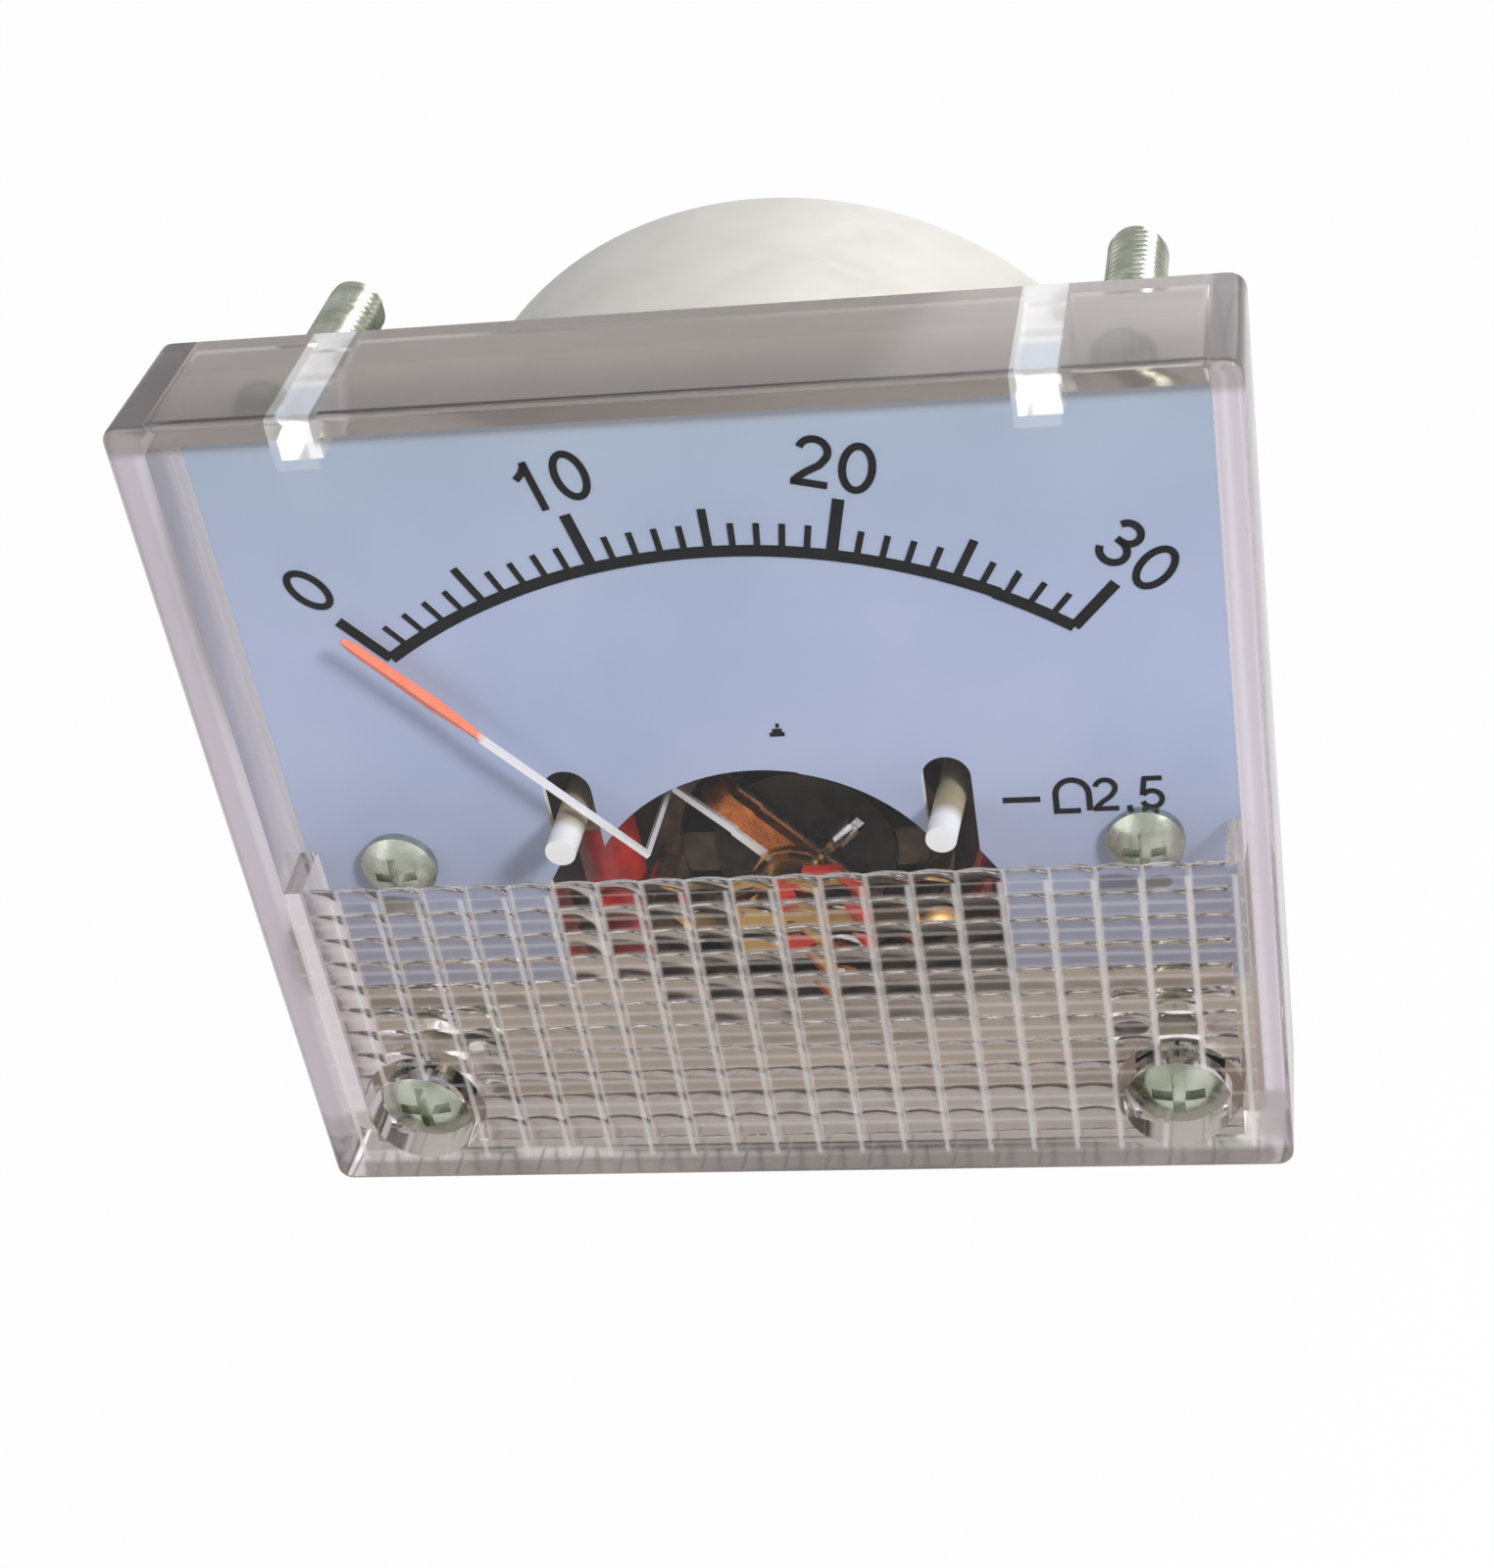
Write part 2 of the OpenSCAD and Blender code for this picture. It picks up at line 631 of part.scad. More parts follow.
// A strip across the rear of the ring, with legs and feet under the frame plate and a tab for the spring
module rear_bridge() color("goldenrod") face() pivot() difference() {
    union() {
        translate([0, 0, rear_bridge_z]) linear_extrude(rear_bridge_face - rear_bridge_z)
            plate(2 * rear_leg_x + 1.2, bridge_w, 0.6);
        for (side = [-1, 1]) {
            translate([side * (rear_leg_x + 0.3), 0, (rear_bridge_z + frame_z) / 2 + 0.1])
                cube([0.6, bridge_w - 1.2, frame_z - rear_bridge_z - 0.2], center = true);
            translate([side * (rear_leg_x + rear_foot_x) / 2, 0, frame_z - 0.3])
                cube([rear_foot_x - rear_leg_x, bridge_w - 1.2, 0.6], center = true);
        }
        translate([spring_out + 0.15, -0.35, rear_bridge_face - 0.1])
            cube([0.3, 0.7, rear_spring_z + spring_h - rear_bridge_face + 0.1]);
    }
    translate([0, 0, rear_bridge_z - past]) cylinder(h = 1.6, r = jewel_r + seat);
    for (side = [-1, 1]) translate([side * rear_screw_x, 0, frame_z - 1]) cylinder(h = 2, r = 0.6 + seat);
}

module rear_bridge_screw(side) color("silver") face() pivot()
    translate([side * rear_screw_x, 0, frame_z - 0.6]) rotate([180, 0, 0]) screw(0.9, 0.6, 0.6, 2);

module rear_jewel() color("gold") face() pivot() difference() {
    translate([0, 0, rear_jewel_z - jewel_l]) cylinder(h = jewel_l, r = jewel_r);
    translate([0, 0, rear_jewel_z - cup_d]) cylinder(h = cup_d + past, r = pin_r + running);
}

// ---- Needle: the coil and everything that turns with it ----

// A rectangular loop round the core, between two distances from its inside
module coil_loop(near, far, w) needle() translate([0, 0, core_mid]) across(w) difference() {
    plate(2 * (coil_half + far), coil_l + 2 * far, 0.2 + far);
    plate(2 * (coil_half + near), coil_l + 2 * near, 0.2 + near);
}

module coil_former() color("silver") face() coil_loop(0, former_t, coil_w + 0.2);
module coil_winding() color("peru") face() coil_loop(former_t, winding_out, coil_w);

// A stepped pin whose foot stands on z = 0; its spring collet ends at h1 and its point at h2
module staff(h1, h2) {
    cylinder(h = 0.2, r = 0.85);
    cylinder(h = h1, r = collet_r);
    cylinder(h = h2, r = pin_r);
}

module front_pivot() color("gainsboro") face() needle() translate([0, 0, coil_front])
    staff(jewel_z - 0.15 - coil_front, jewel_z + cup_d - 0.05 - coil_front);

module rear_pivot() color("gainsboro") face() needle() translate([0, 0, coil_rear])
    rotate([180, 0, 0]) staff(coil_rear - rear_jewel_z - 0.15, coil_rear - rear_jewel_z + cup_d - 0.05);

module hairspring(z, turn) pivot() translate([0, 0, z]) rotate(turn) linear_extrude(spring_h)
    spiral(spring_in, spring_out, spring_turns, spring_t);

module front_hairspring() color("tan") face() hairspring(spring_z, -90);
module rear_hairspring() color("tan") face() hairspring(rear_spring_z, 0);

// The blade's outline: pairs of radius and half width
blade = [[blade_r, arm_w / 2], [blade_r + 0.35 * (tip_r - blade_r), blade_w / 2],
    [tip_r - 0.6, blade_w * 0.38], [tip_r, blade_w * 0.2]];

module pointer() color("coral") face() needle() difference() {
    union() {
        translate([0, 0, arm_z]) cylinder(h = arm_t, r = 1);
        translate([0, 0, arm_z + arm_t / 2]) translate([0, step_r / 2, 0])
            cube([arm_w + 0.1, step_r, arm_t], center = true);
        translate([-arm_w / 2 - 0.05, step_r - arm_t, arm_z])
            cube([arm_w + 0.1, arm_t, blade_z + arm_t - arm_z]);
        translate([0, 0, blade_z]) linear_extrude(arm_t) {
            translate([-arm_w / 2, step_r - arm_t]) square([arm_w, blade_r - step_r + arm_t + 0.1]);
            polygon(concat([for (p = blade) [p[1], p[0]]],
                [for (i = [len(blade) - 1 : -1 : 0]) [-blade[i][1], blade[i][0]]]));
        }
    }
    translate([0, 0, arm_z - past]) cylinder(h = 2, r = collet_r + 0.02);
}

module balance_cross() color("gainsboro") face() needle() translate([0, 0, cross_z])
    linear_extrude(cross_t) difference() {
        union() {
            circle(1);
            translate([-cross_reach, -cross_w / 2]) square([2 * cross_reach, cross_w]);
            translate([-cross_w / 2, -cross_reach]) square([cross_w, cross_reach]);
        }
        circle(collet_r + 0.02);
    }

// A weight on an arm of the cross, turned from the pointer's direction
module balance_weight(turn) color("gainsboro") face() needle() rotate(turn)
    translate([0, weight_at, cross_z + cross_t / 2]) difference() {
        rotate([90, 0, 0]) cylinder(h = weight_l, r = weight_r, center = true);
        cube([cross_w + 0.04, 2 * weight_l, cross_t + 0.04], center = true);
    }

// ---- Stops, resistor and wiring ----

module stop_pin(side) color("silver") face() translate([side * stop_x, stop_y, frame_z])
    cylinder(h = stop_top - 0.3 - frame_z, r = stop_pin_r);

module stop_sleeve(side) color("white") face() translate([side * stop_x, stop_y, frame_face]) difference() {
    cylinder(h = stop_top - frame_face, r = sleeve_r);
    translate([0, 0, -past]) cylinder(h = stop_top - frame_face - 0.3 + past, r = stop_pin_r + seat);
}

module multiplier_resistor() color("firebrick") face() {
    x = resistor_at[0];
    y = resistor_at[1];
    z = resistor_at[2];
    half = resistor_l / 2;
    translate(resistor_at) rotate([90, 0, 0]) rotate_extrude() polygon([
        [0, -half], [resistor_r - 0.5, -half], [resistor_r, 0.5 - half], [resistor_r, 1.8 - half],
        [resistor_r - 0.2, 2.2 - half], [resistor_r - 0.2, half - 2.2], [resistor_r, half - 1.8],
        [resistor_r, half - 0.5], [resistor_r - 0.5, half], [0, half]
    ]);
    wire([
        [terminal_x * sign(x), -1.5, floor_z + terminal_head_h], [terminal_x * sign(x), -1.5, floor_z + 2.4],
        [x, y + half + 0.6, floor_z + 4], [x, y + half + 0.6, z], [x, y + half - 0.3, z]], lead_r);
    wire([[x, y - half - 0.6, frame_face], [x, y - half - 0.6, z], [x, y - half + 0.3, z]], lead_r);
}

module link_wire() color("firebrick") face() wire([
    [terminal_x, -1.5, floor_z + terminal_head_h], [terminal_x, -1.5, floor_z + 2.4],
    [link_at[0], link_at[1], floor_z + 4], [link_at[0], link_at[1], bridge_z - 1],
    [bridge_half + 1.2, pivot_y, bridge_z + bridge_t / 2 - 0.1],
    [bridge_half, pivot_y, bridge_z + bridge_t / 2 - 0.1]
], lead_r);

// ---- Terminals ----

module terminal_stud(side) color("silver") face() terminal_at(side) {
    translate([0, 0, floor_z]) cylinder(h = terminal_head_h, r = terminal_head_r, $fn = 6);
    translate([0, 0, 0.5 - barrel_l - terminal_l]) cylinder(h = rear_t + terminal_l, r = terminal_r);
    translate([0, 0, -barrel_l - terminal_l]) cylinder(h = 0.5, r1 = terminal_r - 0.5, r2 = terminal_r);
}

module washer(side, z) color("silver") face() terminal_at(side) translate([0, 0, z])
    linear_extrude(washer_t) difference() {
        circle(washer_r);
        circle(terminal_r + 0.15);
    }

// A hexagon nut with bevelled corners
module nut(side, z) color("silver") face() terminal_at(side) translate([0, 0, z]) {
    corner = nut_w / 2 / cos(30);
    difference() {
        intersection() {
            cylinder(h = nut_t, r = corner, $fn = 6);
            rotate_extrude() polygon([
                [0, 0], [nut_w / 2, 0], [corner + 0.1, 0.35],
                [corner + 0.1, nut_t - 0.35], [nut_w / 2, nut_t], [0, nut_t]
            ]);
        }
        translate([0, 0, -past]) cylinder(h = nut_t + 2 * past, r = terminal_r + seat);
    }
}

// A solder lug: a ring with a pierced tongue that points down
module solder_lug(side) color("gainsboro") face() terminal_at(side) translate([0, 0, lug_z])
    linear_extrude(lug_t) difference() {
        union() {
            circle(nut_w / 2);
            translate([-lug_w / 2, -lug_l]) square([lug_w, lug_l]);
            translate([0, -lug_l]) circle(lug_w / 2);
        }
        circle(terminal_r + 0.15);
        translate([0, 0.5 - lug_l]) circle(lug_eye_r);
    }

cover();
base();
dial_plate();
cover_screw(-1);  // cover_screw_left
cover_screw(1);  // cover_screw_right
dial_screw(-1);  // dial_screw_left
dial_screw(1);  // dial_screw_right
mount_stud(-1, 1);  // mount_stud_upper_left
mount_stud(1, 1);  // mount_stud_upper_right
mount_stud(-1, -1);  // mount_stud_lower_left
mount_stud(1, -1);  // mount_stud_lower_right
movement_frame();
frame_screw(-1);  // frame_screw_left
frame_screw(1);  // frame_screw_right
yoke_ring();
core_magnet();
core_wedge(-1);  // core_wedge_left
core_wedge(1);  // core_wedge_right
front_bridge();
bridge_post(-1);  // bridge_post_left
bridge_post(1);  // bridge_post_right
bridge_screw(-1);  // bridge_screw_left
bridge_screw(1);  // bridge_screw_right
front_jewel();
zero_adjuster();
rear_bridge();
rear_bridge_screw(-1);  // rear_bridge_screw_left
rear_bridge_screw(1);  // rear_bridge_screw_right
rear_jewel();
coil_former();
coil_winding();
front_pivot();
rear_pivot();
front_hairspring();
rear_hairspring();
pointer();
balance_cross();
balance_weight(180);  // balance_weight_tail
balance_weight(90);  // balance_weight_left
balance_weight(-90);  // balance_weight_right
stop_pin(-1);  // stop_pin_left
stop_pin(1);  // stop_pin_right
stop_sleeve(-1);  // stop_sleeve_left
stop_sleeve(1);  // stop_sleeve_right
multiplier_resistor();
link_wire();
terminal_stud(-1);  // terminal_stud_left
terminal_stud(1);  // terminal_stud_right
washer(-1, inner_washer_z);  // inner_washer_left
washer(1, inner_washer_z);  // inner_washer_right
nut(-1, inner_nut_z);  // inner_nut_left
nut(1, inner_nut_z);  // inner_nut_right
solder_lug(-1);  // solder_lug_left
solder_lug(1);  // solder_lug_right
washer(-1, outer_washer_z);  // outer_washer_left
washer(1, outer_washer_z);  // outer_washer_right
nut(-1, outer_nut_z);  // outer_nut_left
nut(1, outer_nut_z);  // outer_nut_right
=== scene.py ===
import json
import math

import bmesh
import bpy
from mathutils import Matrix, Vector


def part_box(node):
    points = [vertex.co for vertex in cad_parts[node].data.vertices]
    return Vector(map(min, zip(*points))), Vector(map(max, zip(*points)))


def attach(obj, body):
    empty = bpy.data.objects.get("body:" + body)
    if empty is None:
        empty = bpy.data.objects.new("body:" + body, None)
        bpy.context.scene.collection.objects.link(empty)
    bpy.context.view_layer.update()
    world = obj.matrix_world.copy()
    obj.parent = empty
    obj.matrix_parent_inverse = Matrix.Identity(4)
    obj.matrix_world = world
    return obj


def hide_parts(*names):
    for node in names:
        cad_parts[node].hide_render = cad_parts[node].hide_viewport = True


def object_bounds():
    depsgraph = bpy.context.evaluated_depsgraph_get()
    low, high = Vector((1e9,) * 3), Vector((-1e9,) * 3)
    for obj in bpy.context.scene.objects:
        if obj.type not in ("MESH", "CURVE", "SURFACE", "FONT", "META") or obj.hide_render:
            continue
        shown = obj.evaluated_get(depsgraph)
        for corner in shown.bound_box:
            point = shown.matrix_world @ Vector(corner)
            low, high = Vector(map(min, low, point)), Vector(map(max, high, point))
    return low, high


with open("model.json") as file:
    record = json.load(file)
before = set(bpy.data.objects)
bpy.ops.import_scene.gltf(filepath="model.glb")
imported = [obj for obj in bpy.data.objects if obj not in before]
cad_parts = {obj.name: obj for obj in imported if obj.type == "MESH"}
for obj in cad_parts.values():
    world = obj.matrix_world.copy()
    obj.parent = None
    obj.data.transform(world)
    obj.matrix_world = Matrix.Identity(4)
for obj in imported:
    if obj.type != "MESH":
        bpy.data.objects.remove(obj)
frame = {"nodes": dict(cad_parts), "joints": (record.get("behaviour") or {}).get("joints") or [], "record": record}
cad_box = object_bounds()
nodes = frame["nodes"]
slot_of = {part["node"]: part["material_slot"] for part in frame["record"]["subparts"]}

# Pieces are drawn as the part's source draws them: in millimetres, x to the right, y up, and z towards the
# viewer, with z = 0 on the panel. FACE stands such a drawing up in the frame, in metres.
MM = 0.001
FACE = Matrix.Rotation(math.pi / 2, 4, "X") @ Matrix.Scale(MM, 4)


# ---- Sizes of the pieces, in millimetres ----

# The movement's axis, and how far to the left of upright the pointer stands at zero
PIVOT_Y = frame["joints"][0]["pos_m"][2] / MM
ZERO_TURN = math.radians(43)

# The clear cover: its walls, window and rounded edges
COVER_LOW, COVER_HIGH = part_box("cover")
COVER_W = (COVER_HIGH.x - COVER_LOW.x) / MM
COVER_H = (COVER_HIGH.z - COVER_LOW.z) / MM
COVER_D = -COVER_LOW.y / MM
WALL_T = 1.5
WINDOW_T = 1.6
WINDOW_Z = COVER_D - WINDOW_T
INNER_W = COVER_W - 2 * WALL_T
INNER_H = COVER_H - 2 * WALL_T
CORNER_R = 0.8
INNER_R = 0.4
EDGE_R = 0.35
EDGE_STEPS = 4

# The cover's locating ribs, ledges and screw ears, and how far they reach into the window to join it
RIB_X = 16.3
RIB_W = 1.9
RIB_H = 1
LEDGE_W = 0.9
LEDGE_Z = 3.2
COVER_SCREW = (19.5, -18.2)
BOSS_R = 3.2
FLANGE_T = 2
SHANK_HOLE_R = 1.4
COUNTERBORE_R = 2.7
COUNTERBORE_Z = COVER_D - 1.9
JOIN = 0.8
ROUND_SIDES = 48

# The lens: pillows on the window's inner face, which fall away more across a cell than up it
LENS_TOP = -4
CELL_W = 2.2
CELL_H = 1.5
CELL_STEPS = 8
LENS_COLS = int(INNER_W // CELL_W)
LENS_ROWS = int((LENS_TOP + INNER_H / 2) // CELL_H)
VALLEY_H = 0.1
PILLOW_H = 0.35
FALL_ACROSS = 0.6
FALL_UP = 0.4
LENS_JOIN = 0.3

# The dial's print: each number has its text, the place of its middle, and its turn in degrees
DIAL_FACE = 3.0
INK_T = 0.04
NUMBERS = (("0", -19.2, 11.1, 43), ("10", -6.6, 16.1, 14.3),
           ("20", 6.35, 16.1, -14.3), ("30", 19.3, 10.7, -43))
NUMBER_H = 2.6
CLASS_NUMBER = ("2.5", 17.95, -2.4, 0)
CLASS_NUMBER_H = 1.9
DASH_LINE = 0.3
SIGN_LINE = 0.28
SPECK_LINE = 0.22

# The coil: half the width, the length and the corners of the former's inside, the former and the winding
CORE_MID = -7.6
COIL_HALF = 5.1
COIL_L = 8.6
COIL_CORNER_R = 0.2
FORMER_T = 0.25
WINDING_OUT = 1.1
COIL_W = 1.8
TURNS = 12
WIRE_STEPS = 5

# The pointer: its hub, the strip of its arm, the step up through the dial, and its blade
HUB_R = 1
BORE_R = 0.45
ARM_Z = -1.375
BLADE_Z = 4.225
STRIP_T = 0.25
STEP_R = 8.275
BLADE_R = 18.2
TIP_R = 26.2
BLADE_EDGE_T = 0.07

# The multiplier resistor: the top and radius of its body, its cap, and a radius between lead and body
RESISTOR_TOP = -4.46
RESISTOR_R = 1.75
CAP_L = 2
LEAD_REACH = 0.5

# The mounting studs: tapped head, neck, thread, and the two radii of the point
MOUNT_HOLE_R = 1.25
MOUNT_HOLE_Z = 0.2
MOUNT_HEAD_R = 2.2
MOUNT_HEAD_Z = 2
MOUNT_R = 1.5
MOUNT_THREAD_Z = -0.6
MOUNT_PITCH = 0.5
MOUNT_POINT_L = 0.4
MOUNT_POINT_R = (1.15, 1.1)

# The terminal studs: hexagonal head, neck, thread, and the two radii of the point
TERMINAL_HEX_R = 3.4
TERMINAL_HEX_Z = -15.4
TERMINAL_NECK_Z = -16.6
TERMINAL_R = 2
TERMINAL_THREAD_Z = -18.4
TERMINAL_PITCH = 0.7
TERMINAL_POINT_L = 0.5
TERMINAL_POINT_R = (1.6, 1.5)

# Threads: their depth as a share of the pitch, the rings in a turn, and the gap between thread and point
THREAD_DEPTH = 0.54
THREAD_STEPS = 8
THREAD_SIDES = 36
POINT_GAP = 0.05

# The marks at the terminals
MARK_Y = 7.4
MARK_L = 3.2
MARK_W = 0.6
MARK_RISE = 0.35


# ---- Meshes ----

# Edges over so many degrees stay sharp: on forms that are cut and joined, and on turned and wound ones
CUT_ANGLE = 25
TURNED_ANGLE = 50


def piece(name, body, slot, mesh, stands_for=(), finish=None):
    """A new piece of the object from a mesh that is in the frame, in its slot's finish or another."""
    obj = bpy.data.objects.new(name, mesh)
    bpy.context.scene.collection.objects.link(obj)
    mesh.materials.clear()
    mesh.materials.append(material_of[finish or slot])
    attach(obj, body)
    if stands_for:
        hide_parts(*stands_for)


def closed_mesh(name, vertices, faces):
    """A mesh from a drawing, with its faces turned outwards."""
    mesh = bpy.data.meshes.new(name)
    mesh.from_pydata(vertices, [], faces)
    bm = bmesh.new()
    bm.from_mesh(mesh)
    bmesh.ops.recalc_face_normals(bm, faces=bm.faces)
    bm.to_mesh(mesh)
    bm.free()
    return mesh


def stand_up(mesh, place, sharp_angle):
    """Puts a drawn mesh into the frame and smooths it, but for edges over the angle in degrees."""
    mesh.transform(FACE @ place)
    mesh.shade_smooth()
    mesh.set_sharp_from_angle(angle=math.radians(sharp_angle))
    return mesh


def combined(name, start, steps, place=Matrix.Identity(4)):
    """The mesh that comes from joining solids to a solid or cutting them from it, in order."""
    def scratch(shape, label):
        obj = bpy.data.objects.new(label, closed_mesh(label, *shape))
        bpy.context.scene.collection.objects.link(obj)
        return obj

    base = scratch(start, name + "_start")
    tools = []
    for number, (operation, shape) in enumerate(steps):
        tool = scratch(shape, f"{name}_step_{number}")
        tools.append(tool)
        modifier = base.modifiers.new(f"step_{number}", "BOOLEAN")
        modifier.operation = operation
        modifier.solver = "MANIFOLD"
        modifier.object = tool
    bpy.context.view_layer.update()
    made = bpy.data.meshes.new_from_object(base.evaluated_get(bpy.context.evaluated_depsgraph_get()))
    for obj in tools + [base]:
        bpy.data.objects.remove(obj)
    return stand_up(made, place, CUT_ANGLE)


def loft(rings, closed=False):
    """Vertices and faces of a skin over rings of as many points, with capped ends or joined end to end."""
    count = len(rings[0])
    vertices = [p for ring in rings for p in ring]
    faces = []
    for i in range(len(rings) if closed else len(rings) - 1):
        j = (i + 1) % len(rings)
        for k in range(count):
            n = (k + 1) % count
            faces.append((i * count + k, j * count + k, j * count + n, i * count + n))
    if not closed:
        faces.append(tuple(range(count)))
        faces.append(tuple(len(vertices) - 1 - k for k in range(count)))
    return vertices, faces


def lathe(profile, sides, centre=(0, 0)):
    """A turned form about z through the centre, from pairs of radius and height."""
    rings = []
    for radius, height in profile:
        rings.append([(centre[0] + radius * math.cos(2 * math.pi * k / sides),
                       centre[1] + radius * math.sin(2 * math.pi * k / sides), height) for k in range(sides)])
    return loft(rings)


def arc(x, y, radius_x, radius_y, start, end, steps=14):
    """Points on part of an ellipse, between two angles in degrees."""
    angles = [math.radians(start + (end - start) * k / steps) for k in range(steps + 1)]
    return [(x + radius_x * math.cos(a), y + radius_y * math.sin(a)) for a in angles]


def round_rectangle(width, height, radius, z, steps=6):
    """A ring of points on a rectangle with round corners."""
    ring = []
    for sx, sy, start in ((1, 1, 0), (-1, 1, 90), (-1, -1, 180), (1, -1, 270)):
        corner = (sx * (width / 2 - radius), sy * (height / 2 - radius))
        ring += [(x, y, z) for x, y in arc(*corner, radius, radius, start, start + 90, steps)]
    return ring


def block(x0, x1, y0, y1, z0, z1):
    """A plain block between two corners, for joining."""
    return loft([[(x0, y0, z), (x1, y0, z), (x1, y1, z), (x0, y1, z)] for z in (z0, z1)])


def rear_of(node):
    """The z of a node's rear end, as in a drawing."""
    return -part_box(node)[1].y / MM


def middle_of(node):
    """The x and y of a node's middle, as in a drawing."""
    low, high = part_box(node)
    return (low.x + high.x) / 2 / MM, (low.z + high.z) / 2 / MM


# ---- Node trees ----

def feed(tree, socket, value):
    """Gives a node's input a value, or a link where the value is the output of another node."""
    if isinstance(value, bpy.types.NodeSocket):
        tree.links.new(value, socket)
    else:
        socket.default_value = value


def node_in(tree, kind, inputs=(), **settings):
    """A new node in a tree, with its settings and its inputs."""
    made = tree.nodes.new(kind)
    for key, value in settings.items():
        setattr(made, key, value)
    for key, value in dict(inputs).items():
        feed(tree, made.inputs[key], value)
    return made


def math_in(tree, operation, a, b=0.0):
    """The output of a new math node in a tree."""
    return node_in(tree, "ShaderNodeMath", {0: a, 1: b}, operation=operation).outputs["Value"]


def end_in_mix(tree, output, share, first, second):
    """Ends a tree in a mix of two shaders, with a share for the second."""
    mixed = node_in(tree, "ShaderNodeMixShader", {0: share, 1: first.outputs[0], 2: second.outputs[0]})
    tree.links.new(mixed.outputs[0], tree.nodes[output].inputs["Surface"])


def srgb(red, green, blue):
    """A colour as it looks on a screen, 0 to 255, as the numbers that a shader wants."""
    def linear(v):
        v = v / 255
        return v / 12.92 if v <= 0.04045 else ((v + 0.055) / 1.055) ** 2.4
    return (linear(red), linear(green), linear(blue), 1)


class Surface:
    """A Principled material whose textures lie in the object's own coordinates, in metres."""

    def __init__(self, name, roughness=0.5, metallic=0.0):
        self.name = name
        self.material = bpy.data.materials.new(name)
        self.material.use_nodes = True
        self.tree = self.material.node_tree
        self.shader = self.tree.nodes["Principled BSDF"]
        self.shader.inputs["Roughness"].default_value = roughness
        self.shader.inputs["Metallic"].default_value = metallic
        self.place = self.tree.nodes.new("ShaderNodeTexCoord").outputs["Object"]

    def set(self, socket, value):
        """Gives one of the shader's inputs a value or a texture."""
        feed(self.tree, self.shader.inputs[socket], value)

    def node(self, kind, inputs=(), **settings):
        """A new node."""
        return node_in(self.tree, kind, inputs, **settings)

    def math(self, operation, a, b=0.0):
        """The result of one operation."""
        return math_in(self.tree, operation, a, b)

    def distance(self, a, b):
        """How far two measures at right angles reach together."""
        return self.math("SQRT", self.math("ADD", self.math("MULTIPLY", a, a), self.math("MULTIPLY", b, b)))

    def axes(self):
        """The x, y and z of a point."""
        split = self.node("ShaderNodeSeparateXYZ", {"Vector": self.place})
        return split.outputs["X"], split.outputs["Y"], split.outputs["Z"]

    def noise(self, size_mm, detail=4):
        """Noise whose features are about so many millimetres across."""
        return self.node("ShaderNodeTexNoise", {
            "Vector": self.place, "Scale": 1 / (size_mm * MM), "Detail": detail}).outputs["Fac"]

    def patches(self, size_mm, detail):
        """Noise that is spread out to 0 and 1, for patches of two colours."""
        return self.between(self.noise(size_mm, detail), 0.35, 0.65)

    def between(self, value, low, high, out_low=0.0, out_high=1.0):
        """Goes from one output to the other as the value goes from low to high, and not past them."""
        return self.node("ShaderNodeMapRange", {
            "Value": value, "From Min": low, "From Max": high,
            "To Min": out_low, "To Max": out_high}).outputs["Result"]

    def between_mm(self, value, start, end, out_low=0.0, out_high=1.0):
        """The same for a place or a distance, whose start and end are in millimetres."""
        return self.between(value, start * MM, end * MM, out_low, out_high)

    def mix(self, share, a, b):
        """Two colours, with a share for the second."""
        return self.node("ShaderNodeMix", {"Factor": share, 6: a, 7: b}, data_type="RGBA").outputs[2]

    def bump(self, height, depth_mm, strength=0.5):
        """A fine relief."""
        made = self.node("ShaderNodeBump", {
            "Height": height, "Strength": strength, "Distance": depth_mm * MM})
        self.set("Normal", made.outputs["Normal"])


# ---- Materials ----

# The cover's plastic: where it changes at the walls, the ribs and the lens, in millimetres
WALL_FADE = (-0.1, 0.3)
RIB_FADE = 0.1
LENS_FADE = 0.05
COLUMN_GROOVE = 0.2
ROW_GROOVE = 0.16
GROOVE_MIDDLE = 0.06
ROW_SHARE = 0.45

# How much of it is hazy there, how strongly it bends light, and how strong its mirror finish is
WALL_HAZE = 0.2
RIB_HAZE = 0.16
GROOVE_HAZE = 0.36
PLASTIC_IOR = 1.59
MIRROR_SHARE = 0.18

# Where other finishes, and the painted shade on the dial and on the nylon pegs, begin and end their change, in
# millimetres of the frame's axes or of reach
DIAL_SHADE_Z = (8, 20)
NYLON_SHADE_Y = (-4.0, -4.8)
BRIDGE_X = (2.8, 4.0)
LEVER_DIP_X = (0.6, 0.75)
BLADE_PAINT_REACH = (BLADE_R - 0.2, BLADE_R + 0.3)

BRASS = (206, 172, 116)


def mottled(name, light, dark, roughness, metallic=0.0, grain=0.6, relief=0.01, gloss=0.5):
    """A surface of two near colours, with a fine uneven gloss and a faint relief."""
    made = Surface(name, metallic=metallic)
    made.set("Specular IOR Level", gloss)
    made.set("Base Color", made.mix(made.patches(grain * 4, 3), srgb(*dark), srgb(*light)))
    fine = made.noise(grain, 3)
    made.set("Roughness", made.between(fine, 0.3, 0.7, roughness * 0.8, roughness * 1.25))
    made.bump(fine, relief)
    return made


